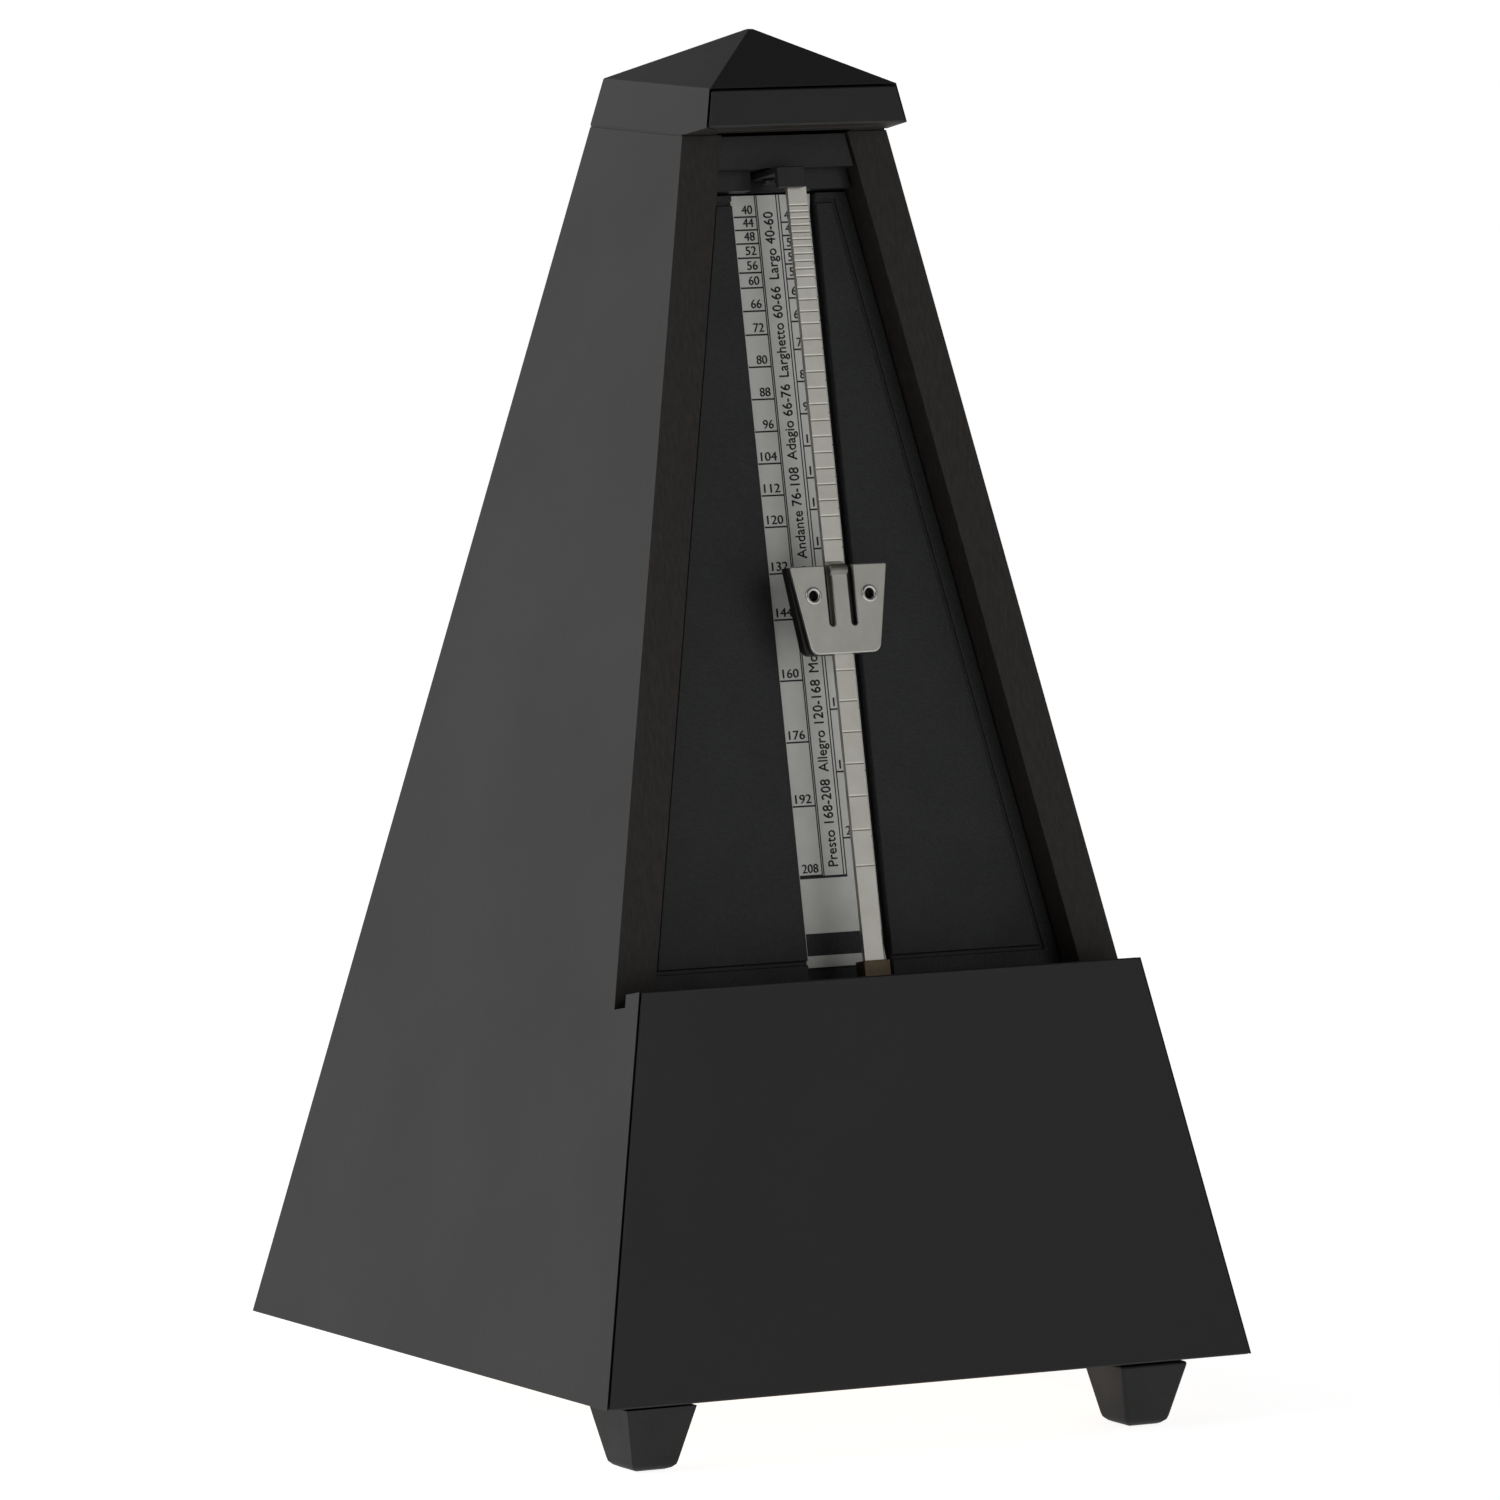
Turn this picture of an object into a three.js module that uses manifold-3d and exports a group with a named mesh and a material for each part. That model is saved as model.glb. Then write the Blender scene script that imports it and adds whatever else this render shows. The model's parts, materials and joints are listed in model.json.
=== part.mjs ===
// A key-wound pendulum metronome in a four-sided, tapering wooden case.
// Units are millimetres. +Z is up, the scale faces -Y, the winding key is on the +X side, and the origin
// is on the surface that the feet stand on, at the middle of the object's box.
import * as THREE from "three";
import { mergeVertices } from "three/addons/utils/BufferGeometryUtils.js";
import Module from "manifold-3d";

const wasm = await Module();
wasm.setup();

// ---- Driving dimensions: the case ----
const CASE_WIDTH = 117; // outside, at the foot of the walls, both ways
const EAVE_WIDTH = 34; // outside, where the roof starts
const EAVE_HEIGHT = 199.9; // of the roof's start above the foot of the walls
const ROOF_RISE = 8.2; // from the eaves to the tip
const ROOF_TIP = 0.8; // flat left at the tip
const WALL = 7; // thickness of the side and back panels
const FRONT_BOARD = 4; // thickness of the lower front and of the top strip
const CAP_HEIGHT = 7.7; // straight part of the cap, below the eaves
const STRIP_HEIGHT = 6.15; // the top strip, measured up the face
const FIT_GAP = 0.3; // between pieces that are glued or that touch
const MITRE_GAP = 0.22; // taken off each side of a mitred corner
const BASE_BOARD = 6;
const COVER_RECESS = 7.4; // how far the side panels' front edges lie behind the face
const COVER_SLOT_FRONT = 4.25; // slot in the side panels for the tongue of a front cover
const COVER_SLOT_DROP = 2;
const KEY_HOLE = 3.4;
const SCREW_HOLE = 1.3; // radius, for the wood screws
const PAST = 10; // how far a cutting shape runs past what it cuts

// ---- Feet ----
const FOOT_HEIGHT = 10.6;
const FOOT_TOP = 12.4;
const FOOT_BOTTOM = 8.2;
const FOOT_DOME = 1.6; // height of the rounded end
const FOOT_FLAT = 3; // width of the flat that it stands on
const FOOT_FRONT_INSET = 0.3;
const FOOT_LEFT_INSET = 3.6; // from the left wall's foot to the left foot
const FOOT_RIGHT_INSET = 11.6;
const FOOT_REAR_INSET = 6;
const FOOT_SCREW_SHIFT = 2.6; // of its screw towards the middle of the case, both ways

// ---- Dial ----
const DIAL_DEPTH = 12.8; // of its surface behind the face
const DIAL_THICKNESS = 3.6;
const SCALE_DEPTH = 14.1;
const SCALE_THICKNESS = 0.4;
const SCALE_WIDTH = 14;
const SCALE_FLARE = 0.4; // how much wider each side of its ends is
const SCALE_FLARE_LENGTH = 3;
const DIAL_GROOVE_INSET = 2.6;
const DIAL_GROOVE_WIDTH = 0.7;
const DIAL_GROOVE_DEPTH = 0.45;
const TOP_BLOCK_DEPTH = 8;
const TOP_BLOCK_STEP = 10.6;
const TOP_BLOCK_HEIGHT = 5.2;
const TOP_BLOCK_STEP_HEIGHT = 3.1;
const TOP_BLOCK_BACK = 14.4;
const POCKET_LEFT = 5.15; // from the middle to the side where the rod swings out of the pocket
const POCKET_RIGHT = 4.6;
const POCKET_BACK = 1; // wall left behind the pocket
const CLIP_LEFT = 3.95; // how far the clip reaches either side of the middle
const CLIP_RIGHT = 1;
const CLIP_THICKNESS = 1;
const CLIP_DROP = 3.6; // of the lip's end below the block's upper part
const CLIP_SCREW_DEPTH = 11.4;
const SLOWEST_MARK_MARGIN = 3.4; // from the dial's top edge down to the slowest tempo

// ---- Pendulum ----
const ROD_WIDTH = 3.4;
const ROD_THICKNESS = 0.8;
const ROD_DEPTH = 5.4; // of its front behind the face
const NOTCH_WIDTH = 0.34;
const NOTCH_DEPTH = 0.12;
const NOTCH_LEAD = 0.5; // each notch lies this much above the mark it belongs to
const ROD_CLEARANCE = 0.3; // between the rod and what slides on it or holds it
const STAFF_RADIUS = 1.5;
const COUNTERWEIGHT_RADIUS = 10.5;
const COUNTERWEIGHT_LENGTH = 9;
const COUNTERWEIGHT_CLEARANCE = 1.1; // above the base board
const REST_TEMPO = 132; // beats a minute that the weight is set to at rest
const SLOWEST_TEMPO = 40;
const TEMPO_BALANCE = 1.0892; // weight's height that would balance the pendulum, over the slowest mark's
const TEMPO_INERTIA = 0.5706; // inertia of the pendulum without its weight, in the same shares

// ---- Sliding weight ----
const BOB_TOP_WIDTH = 17.6;
const BOB_BOTTOM_WIDTH = 12.2;
const BOB_HEIGHT = 14;
const BOB_CORNER = 1.6;
const BOB_PLATE = 0.8;
const BOB_BODY = 1.65;
const BOB_TONGUE = 2.9;
const BOB_SLOT = 1.1;
const BOB_SLOT_LENGTH = 9.6;
const EYELET_SPREAD = 5.07; // of each eyelet from the middle
const EYELET_DROP = 4.75; // below the weight's top edge
const EYELET_RIM = 1.25;
const EYELET_TUBE = 1;
const EYELET_BORE = 0.7;

// ---- Movement ----
const PLATE = 1.5;
const PLATE_SPACING = 28; // between the inner faces of the plates
const GREAT_TEETH = 48;
const SECOND_PINION_TEETH = 12;
const GREAT_MODULE = 0.75;
const SECOND_TEETH = 40;
const ESCAPE_PINION_TEETH = 10;
const SECOND_MODULE = 0.6;
const COCK_HALF = 2.8; // half the height of the bridges that hold the staff
const PLATE_FOOT_REACH = 9;
const PLATE_FOOT_LENGTH = 12;
const PILLAR_RADIUS = 2;
const PILLAR_TENON = 1.2;
const MESH_SLACK = 0.1; // added to each centre distance
const CROWN_TEETH = 15;
const CROWN_RADIUS = 8.5;
const CROWN_RIM = 1.2;
const CROWN_CLEARANCE = 0.4; // from the pallets to the tips of the teeth
const PALLET_REACH = 2.8;
const PALLET_LENGTH = 2; // along the staff
const PALLET_BACKSET = 1.4; // of the front pallet behind the bridge in front of it
const ESCAPE_RISE = 22.85; // of the crown wheel's axis above the barrel's
const ESCAPE_ADVANCE = 22.9; // of the crown wheel's axis in front of the barrel's
const BARREL_CLEARANCE = 5.25; // under the great wheel
const DRUM_RADIUS = 16;
const DRUM_WALL = 1;
const ARBOR_RADIUS = 2;
const ARBOR_CORE = 4;
const SPRING_THICKNESS = 0.5;
const SPRING_TURNS = 5;
const RATCHET_TEETH = 24;
const RATCHET_RADIUS = 9.5;
const BEARING_GAP = 0.3;
const CLICK_EYE = 2.4; // outside radius of the click's and the click spring's eyes
const CLICK_BORE = 1.3;

// ---- Winding key ----
const KEY_STEM = 3;
const KEY_BOW_LENGTH = 24;
const KEY_BOW_HEIGHT = 9;
const KEY_BOW_THICKNESS = 2.6;
const KEY_STANDOFF = 3; // from the panel to the key

const SEGMENTS = 28; // of a middling round piece

// ---- Worked out from them ----
const caseHalf = CASE_WIDTH / 2;
const taper = (caseHalf - EAVE_WIDTH / 2) / EAVE_HEIGHT; // each wall leans in by this much per mm of height
const lean = Math.atan(taper);
const sinLean = Math.sin(lean);
const cosLean = Math.cos(lean);
const faceLength = EAVE_HEIGHT / cosLean;
const seamHeight = EAVE_HEIGHT - CAP_HEIGHT;
const wallAcross = WALL / cosLean; // a panel's thickness measured level

const greatRadius = (GREAT_TEETH * GREAT_MODULE) / 2;
const greatTip = greatRadius + 0.8 * GREAT_MODULE;
const barrelHeight = BASE_BOARD + BARREL_CLEARANCE + greatTip;
const escapeHeight = barrelHeight + ESCAPE_RISE;

const frontCockDepth = DIAL_DEPTH + DIAL_THICKNESS + 0.2;
const crownDepth = frontCockDepth + PLATE + PALLET_BACKSET + PALLET_LENGTH / 2 + CROWN_RADIUS;

// Places on the face are given by x, the distance up the slope from the foot of the front, and the
// depth behind it. This frame leans back with the face.
const pivotUp = (escapeHeight + crownDepth * sinLean) / cosLean;
const sillUp = pivotUp + 4.1;
const windowTop = faceLength - STRIP_HEIGHT;
const blockTop = windowTop - 0.4;
const blockFoot = blockTop - TOP_BLOCK_HEIGHT;
const dialTop = blockFoot - TOP_BLOCK_STEP_HEIGHT - FIT_GAP;
const dialFoot = sillUp - 0.6;
const clipWeb = blockFoot - FIT_GAP - CLIP_THICKNESS; // underside of the clip's level part
const rodTop = clipWeb - 0.4;
const slowestReach = dialTop - SLOWEST_MARK_MARGIN - pivotUp;

const facePlace = new THREE.Matrix4()
  .makeTranslation(0, -caseHalf, 0)
  .multiply(new THREE.Matrix4().makeRotationX(Math.PI / 2 - lean));

// Level distance forward or back, and height, of a point given up the face and behind it.
const levelOf = (up, depth) => -caseHalf + up * sinLean + depth * cosLean;
const heightOf = (up, depth) => up * cosLean - depth * sinLean;

const escapeAt = new THREE.Vector2(levelOf(pivotUp, crownDepth), escapeHeight);
const barrelAt = new THREE.Vector2(escapeAt.x + ESCAPE_ADVANCE, barrelHeight);
const outerHalf = (height) => caseHalf - taper * height;
const innerHalf = (up, depth) => outerHalf(heightOf(up, depth)) - wallAcross;

// ---- Solids ----
function solidOf(geometry) {
  const bare = geometry.index ? geometry.toNonIndexed() : geometry.clone();
  bare.deleteAttribute("normal");
  bare.deleteAttribute("uv");
  const merged = mergeVertices(bare, 1e-4);
  return new wasm.Manifold(
    new wasm.Mesh({
      numProp: 3,
      vertProperties: merged.attributes.position.array,
      triVerts: new Uint32Array(merged.index.array),
    }),
  );
}

function geometryOf(solid) {
  const mesh = solid.getMesh();
  const geometry = new THREE.BufferGeometry();
  geometry.setAttribute("position", new THREE.BufferAttribute(mesh.vertProperties, 3));
  geometry.setIndex(new THREE.BufferAttribute(mesh.triVerts, 1));
  geometry.computeVertexNormals();
  return geometry;
}

function cut(body, ...tools) {
  let solid = solidOf(body);
  for (const tool of tools) solid = solid.subtract(solidOf(tool));
  return geometryOf(solid);
}

function join(...pieces) {
  return geometryOf(pieces.map(solidOf).reduce((sum, piece) => sum.add(piece)));
}

// ---- Shapes ----
const point = (x, y) => new THREE.Vector2(x, y);

function box(x0, x1, y0, y1, z0, z1) {
  return new THREE.BoxGeometry(x1 - x0, y1 - y0, z1 - z0).translate(
    (x0 + x1) / 2,
    (y0 + y1) / 2,
    (z0 + z1) / 2,
  );
}

// A box on the face, by its places up the slope and behind it.
function faceBox(x0, x1, up0, up1, depth0, depth1) {
  return box(x0, x1, up0, up1, -depth1, -depth0);
}

function extruded(outline, z0, z1, holes = []) {
  const shape = new THREE.Shape(outline);
  for (const hole of holes) shape.holes.push(new THREE.Path(hole));
  const geometry = new THREE.ExtrudeGeometry(shape, {
    depth: z1 - z0,
    bevelEnabled: false,
    curveSegments: 6,
  });
  return geometry.translate(0, 0, z0);
}

function facePlate(outline, depth0, depth1, holes = []) {
  return extruded(outline, -depth1, -depth0, holes);
}

// Points round a circle, or round part of one.
function arc(centre, radius, from = 0, to = 2 * Math.PI, steps = SEGMENTS) {
  const whole = Math.abs(to - from) > 2 * Math.PI - 1e-6;
  return Array.from({ length: whole ? steps : steps + 1 }, (_, i) => {
    const angle = from + ((to - from) * i) / steps;
    return point(centre.x + radius * Math.cos(angle), centre.y + radius * Math.sin(angle));
  });
}

function rod(radius, z0, z1, at = point(0, 0), sides = SEGMENTS) {
  return new THREE.CylinderGeometry(radius, radius, z1 - z0, sides)
    .rotateX(Math.PI / 2)
    .translate(at.x, at.y, (z0 + z1) / 2);
}

// A turned piece about Z: the profile lists radius and height and closes on itself or on the axis.
function turned(profile, at = point(0, 0), sides = SEGMENTS) {
  const ring = profile.some(([radius]) => radius === 0) ? profile : [...profile, profile[0]];
  const twiceArea = profile.reduce((sum, [r, z], i) => {
    const [r2, z2] = profile[(i + 1) % profile.length];
    return sum + r * z2 - r2 * z;
  }, 0);
  const points = (twiceArea > 0 ? ring : [...ring].reverse()).map(([r, z]) => point(r, z));
  return new THREE.LatheGeometry(points, sides).rotateX(Math.PI / 2).translate(at.x, at.y, 0);
}

const mirrored = (right) => [...right, ...[...right].reverse().map((p) => point(-p.x, p.y))];

// Six-sided block between a lower and an upper four-cornered outline, both counter-clockwise from above.
function block(lower, z0, upper, z1) {
  const corners = [...lower.map((p) => [p.x, p.y, z0]), ...upper.map((p) => [p.x, p.y, z1])];
  const faces = [0, 2, 1, 0, 3, 2, 4, 5, 6, 4, 6, 7];
  for (let i = 0; i < 4; i++) {
    const next = (i + 1) % 4;
    faces.push(i, next, next + 4, i, next + 4, i + 4);
  }
  const geometry = new THREE.BufferGeometry();
  geometry.setAttribute("position", new THREE.Float32BufferAttribute(corners.flat(), 3));
  geometry.setIndex(faces);
  geometry.computeVertexNormals();
  return geometry;
}

// ---- Case ----
// One mitred wall of the tapering case. quarter turns it from the left wall round to the front (1),
// right (2) and back (3).
function wall(thickness, z0, z1, quarter, gap = MITRE_GAP) {
  const across = thickness / cosLean;
  const outline = (height) => {
    const half = outerHalf(height);
    const inner = half - across;
    return [
      point(-half, -half + gap),
      point(-inner, -inner + gap),
      point(-inner, inner - gap),
      point(-half, half - gap),
    ];
  };
  return block(outline(z0), z0, outline(z1), z1).rotateZ((quarter * Math.PI) / 2);
}

// What a front cover would fill: above the sill the side panels stand back, with a slot at its foot.
function coverSpace() {
  const wide = CASE_WIDTH;
  return [
    faceBox(-wide, wide, sillUp, faceLength + PAST, -PAST, COVER_RECESS),
    faceBox(-wide, wide, sillUp - COVER_SLOT_DROP, sillUp + 1, COVER_SLOT_FRONT, COVER_RECESS),
  ].map((space) => space.applyMatrix4(facePlace));
}

const leftPanel = () => cut(wall(WALL, 0, seamHeight, 0), ...coverSpace());

function rightPanel() {
  const hole = rod(KEY_HOLE, 0, CASE_WIDTH, barrelAt).applyMatrix4(layoutPlace);
  return cut(wall(WALL, 0, seamHeight, 2), ...coverSpace(), hole);
}

const backPanel = () => wall(WALL, 0, seamHeight, 3);

function lowerFront() {
  const above = faceBox(-CASE_WIDTH, CASE_WIDTH, sillUp, faceLength, -PAST, 2 * PAST).applyMatrix4(facePlace);
  return cut(wall(FRONT_BOARD, 0, heightOf(sillUp, 0) + 5, 1), above);
}

function topStrip() {
  const below = faceBox(-CASE_WIDTH, CASE_WIDTH, 0, windowTop, -PAST, 2 * PAST).applyMatrix4(facePlace);
  return cut(wall(FRONT_BOARD, seamHeight - STRIP_HEIGHT, EAVE_HEIGHT - FIT_GAP, 1), below);
}

// The cap's straight part and roof in one. The top strip fills its front, and its front corners end square
// with the strip's lower edge, in front of the side panels' recess.
function cap() {
  const square = (half) => [point(-half, -half), point(half, -half), point(half, half), point(-half, half)];
  const foot = seamHeight + FIT_GAP;
  const eaves = square(outerHalf(EAVE_HEIGHT));
  const skirt = block(square(outerHalf(foot)), foot, eaves, EAVE_HEIGHT);
  const roof = block(eaves, EAVE_HEIGHT, square(ROOF_TIP / 2), EAVE_HEIGHT + ROOF_RISE);
  const stripSpace = wall(FRONT_BOARD + FIT_GAP, seamHeight - STRIP_HEIGHT, EAVE_HEIGHT, 1, -MITRE_GAP);
  const windowSpace = faceBox(-CASE_WIDTH, CASE_WIDTH, 0, windowTop, -PAST, COVER_RECESS);
  return cut(join(skirt, roof), stripSpace, windowSpace.applyMatrix4(facePlace));
}

function baseBoard(feet) {
  const side = outerHalf(BASE_BOARD) - wallAcross - FIT_GAP;
  const front = -outerHalf(BASE_BOARD) + FRONT_BOARD / cosLean + FIT_GAP;
  const board = box(-side, side, front, side, 0, BASE_BOARD);
  const footScrews = feet.map((at) => at.clone().add(footScrewShift(at)));
  const places = [...footScrews, ...movementScrewPlaces()];
  const holes = places.map((at) => rod(SCREW_HOLE, -1, BASE_BOARD + 1, at, 12));
  return cut(board, ...holes);
}

// Where the movement is screwed down, in the case's level frame.
const movementScrewPlaces = () => [-1, 1].map((side) => point(side * footScrewAt.y, footScrewAt.x));

function footPlaces() {
  const front = -caseHalf + FOOT_FRONT_INSET + FOOT_TOP / 2;
  return {
    front_left: point(-caseHalf + FOOT_LEFT_INSET + FOOT_TOP / 2, front),
    front_right: point(caseHalf - FOOT_RIGHT_INSET - FOOT_TOP / 2, front),
    rear: point(0, caseHalf - WALL - FOOT_REAR_INSET - FOOT_TOP / 2),
  };
}

// How far a foot's screw lies from the foot's middle.
const footScrewShift = (at) =>
  point(-Math.sign(at.x) * FOOT_SCREW_SHIFT, -Math.sign(at.y) * FOOT_SCREW_SHIFT);

// A square, tapering foot with a rounded end, hollow for its screw.
function foot(at) {
  const across = Math.SQRT2 / 2; // a four-sided turning's corners lie this far out for each mm of width
  const profile = [[0, -FOOT_HEIGHT]];
  const steps = 4;
  for (let i = 0; i <= steps; i++) {
    const angle = (i / steps) * (Math.PI / 2);
    const width = FOOT_FLAT + (FOOT_BOTTOM - FOOT_FLAT) * Math.sin(angle);
    profile.push([width * across, -FOOT_HEIGHT + FOOT_DOME * (1 - Math.cos(angle))]);
  }
  profile.push([FOOT_TOP * across, -FIT_GAP], [0, -FIT_GAP]);
  const body = turned(profile, point(0, 0), 4).rotateZ(Math.PI / 4);
  return cut(body, rod(SCREW_HOLE, -FOOT_HEIGHT + 4, 1, footScrewShift(at), 12));
}

// A wood screw, head up, its shank pointing down from z = 0.
function screw(headRadius, headHeight, shankRadius, shankLength, slotWidth = 0.5) {
  const body = turned(
    [
      [0, -shankLength],
      [shankRadius, -shankLength],
      [shankRadius, 0],
      [headRadius, 0],
      [headRadius * 0.9, headHeight],
      [0, headHeight],
    ],
    point(0, 0),
    12,
  );
  const slot = box(-headRadius, headRadius, -slotWidth / 2, slotWidth / 2, headHeight * 0.5, headHeight + 1);
  return cut(body, slot);
}

// ---- Dial ----
function dialOutline(inset, up0, up1) {
  const half = (up) => innerHalf(up, DIAL_DEPTH) - inset;
  return mirrored([point(half(up0), up0), point(half(up1), up1)]);
}

function dialPanel() {
  const slab = facePlate(dialOutline(FIT_GAP, dialFoot, dialTop), DIAL_DEPTH, DIAL_DEPTH + DIAL_THICKNESS);
  const ring = (inset) => dialOutline(inset, sillUp + 0.5 + inset, dialTop + 1.6 - inset);
  const groove = facePlate(
    ring(DIAL_GROOVE_INSET),
    DIAL_DEPTH - 1,
    DIAL_DEPTH + DIAL_GROOVE_DEPTH,
    [ring(DIAL_GROOVE_INSET + DIAL_GROOVE_WIDTH).reverse()],
  );
  const half = SCALE_WIDTH / 2 + SCALE_FLARE + FIT_GAP;
  const floor = SCALE_DEPTH + SCALE_THICKNESS + FIT_GAP;
  const channel = faceBox(-half, half, dialFoot - 1, dialTop + 1, DIAL_DEPTH - 1, floor);
  return cut(slab, groove, channel);
}

function scaleStrip() {
  const half = SCALE_WIDTH / 2;
  const foot = sillUp + 2.7;
  const outline = mirrored([
    point(half + SCALE_FLARE, foot),
    point(half, foot + SCALE_FLARE_LENGTH),
    point(half, dialTop - SCALE_FLARE_LENGTH),
    point(half + SCALE_FLARE, dialTop),
  ]);
  return facePlate(outline, SCALE_DEPTH, SCALE_DEPTH + SCALE_THICKNESS);
}

// The block that closes the window's top, with a pocket in its lower step for the rod's end.
function topBlock() {
  const outline = (up0, up1) => {
    const half = (up) => innerHalf(up, TOP_BLOCK_DEPTH) - FIT_GAP;
    return mirrored([point(half(up0), up0), point(half(up1), up1)]);
  };
  const upper = facePlate(outline(blockFoot, blockTop), TOP_BLOCK_DEPTH, TOP_BLOCK_BACK);
  const stepFoot = blockFoot - TOP_BLOCK_STEP_HEIGHT;
  const step = facePlate(outline(stepFoot, blockFoot + 1), TOP_BLOCK_STEP, TOP_BLOCK_BACK);
  const back = TOP_BLOCK_BACK - POCKET_BACK;
  const pocket = faceBox(-POCKET_LEFT, POCKET_RIGHT, stepFoot - 1, blockFoot, TOP_BLOCK_STEP - 1, back);
  return cut(join(upper, step), pocket, alongFace(clipBore, blockFoot - 1, blockTop - 1));
}

const clipBore = 1;
const clipBack = ROD_DEPTH - ROD_CLEARANCE; // of the lip, just clear of the rod

// A round shape along the slope, at the clip's screw.
function alongFace(radius, up0, up1) {
  const at = point((CLIP_RIGHT - CLIP_LEFT) / 2, CLIP_SCREW_DEPTH);
  return rod(radius, up0, up1, at, 12).rotateX(-Math.PI / 2);
}

// An angle bracket under the block. Its lip hangs over the rod's end, which can slip out to either side.
function rodClip() {
  const top = blockFoot - FIT_GAP;
  const back = TOP_BLOCK_BACK - POCKET_BACK - FIT_GAP;
  const lipFoot = blockFoot - CLIP_DROP;
  const profile = [
    point(-back, clipWeb),
    point(-clipBack, clipWeb),
    point(-clipBack, lipFoot),
    point(-clipBack + CLIP_THICKNESS, lipFoot),
    point(-clipBack + CLIP_THICKNESS, top),
    point(-back, top),
  ];
  const plate = extruded(profile, -CLIP_RIGHT, CLIP_LEFT).applyMatrix4(sideOn);
  return cut(plate, alongFace(clipBore, clipWeb - 1, top + 1));
}

// Turns an outline drawn in (outward, up) and extruded across into the face's frame.
const sideOn = new THREE.Matrix4().makeBasis(
  new THREE.Vector3(0, 0, 1),
  new THREE.Vector3(0, 1, 0),
  new THREE.Vector3(-1, 0, 0),
);

// ---- Tempo marks ----
function tempos() {
  const list = [];
  const runs = [
    [40, 60, 2],
    [60, 72, 3],
    [72, 120, 4],
    [120, 144, 6],
    [144, 208, 8],
  ];
  for (const [first, last, step] of runs) for (let n = first; n < last; n += step) list.push(n);
  return [...list, 208];
}

// Height of a tempo's mark. A balanced pendulum's rate goes as (a - h) / (c + h * h) squared-rooted, with
// the weight's height h as a share of its height at the slowest tempo.
function markUp(tempo) {
  const q = ((tempo / SLOWEST_TEMPO) ** 2 * (TEMPO_BALANCE - 1)) / (TEMPO_INERTIA + 1);
  const share = (Math.sqrt(1 - 4 * q * (q * TEMPO_INERTIA - TEMPO_BALANCE)) - 1) / (2 * q);
  return pivotUp + slowestReach * share;
}

// ---- Pendulum ----
const counterweightFront = ROD_DEPTH + ROD_THICKNESS + 0.4;
const counterweightUp =
  (BASE_BOARD +
    COUNTERWEIGHT_CLEARANCE +
    (counterweightFront + COUNTERWEIGHT_LENGTH) * sinLean) /
    cosLean +
  COUNTERWEIGHT_RADIUS;

// A flat steel rod: its side view with a notch for each tempo, extruded across its width.
function pendulumRod() {
  const front = -ROD_DEPTH;
  const back = front - ROD_THICKNESS;
  const foot = counterweightUp - 4;
  const side = [point(back, rodTop), point(back, foot), point(front, foot)];
  for (const tempo of tempos().reverse()) {
    const up = markUp(tempo) + NOTCH_LEAD;
    side.push(point(front, up - NOTCH_WIDTH / 2));
    side.push(point(front - NOTCH_DEPTH, up));
    side.push(point(front, up + NOTCH_WIDTH / 2));
  }
  side.push(point(front, rodTop));
  const bar = extruded(side, -ROD_WIDTH / 2, ROD_WIDTH / 2).applyMatrix4(sideOn);
  return cut(bar, rod(1.2, -12, 0, point(0, counterweightUp), 12));
}

// The clamp that joins the rod to the staff behind it.
function rodClamp() {
  const front = ROD_DEPTH - ROD_CLEARANCE - 0.5;
  const back = ROD_DEPTH + ROD_THICKNESS + 1.2;
  const half = ROD_WIDTH / 2 + 0.65;
  const body = faceBox(-half, half, pivotUp - 5, sillUp + 2.7, front, back);
  const boss = rod(3.4, -back - 3.6, -back + 0.5, point(0, pivotUp));
  const slotHalf = ROD_WIDTH / 2 + 0.15;
  const slot = faceBox(
    -slotHalf,
    slotHalf,
    pivotUp - 6,
    sillUp + 4,
    ROD_DEPTH - ROD_CLEARANCE,
    ROD_DEPTH + ROD_THICKNESS + ROD_CLEARANCE,
  );
  const bore = rod(STAFF_RADIUS + BEARING_GAP, -back - 5, -staffFront + BEARING_GAP, point(0, pivotUp));
  return cut(join(body, boss), slot, bore);
}

const staffFront = ROD_DEPTH + ROD_THICKNESS + 1;
const platesDepth = frontCockDepth + PLATE + FIT_GAP;
const rearCockDepth = crownDepth + CROWN_RADIUS + 2;
const staffBack = rearCockDepth + PLATE + 0.6;

const staff = () => rod(STAFF_RADIUS, -staffBack, -staffFront, point(0, pivotUp), 20);

// A pallet is a collar on the staff with a flag that reaches towards the crown wheel.
function pallet(depth, turn) {
  const half = PALLET_LENGTH / 2;
  const collar = [
    [STAFF_RADIUS + 0.25, -half],
    [STAFF_RADIUS + 0.95, -half],
    [STAFF_RADIUS + 0.95, half],
    [STAFF_RADIUS + 0.25, half],
  ];
  const flag = box(STAFF_RADIUS + 0.6, PALLET_REACH, -0.35, 0.35, -half, half).rotateZ(turn);
  return join(turned(collar, point(0, 0), 20), flag).translate(0, pivotUp, -depth);
}

function counterweight() {
  const back = counterweightFront + COUNTERWEIGHT_LENGTH;
  const chamfer = 0.8;
  const disc = turned([
    [1.2, -back],
    [COUNTERWEIGHT_RADIUS - chamfer, -back],
    [COUNTERWEIGHT_RADIUS, -back + chamfer],
    [COUNTERWEIGHT_RADIUS, -counterweightFront - chamfer],
    [COUNTERWEIGHT_RADIUS - chamfer, -counterweightFront],
    [1.2, -counterweightFront],
  ]);
  return disc.translate(0, counterweightUp, 0);
}

// ---- Sliding weight ----
const bobTopUp = markUp(REST_TEMPO);
const bobPlateFront = ROD_DEPTH - ROD_CLEARANCE - BOB_PLATE;
const eyeletPlaces = [-1, 1].map((side) => point(side * EYELET_SPREAD, bobTopUp - EYELET_DROP));

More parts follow.
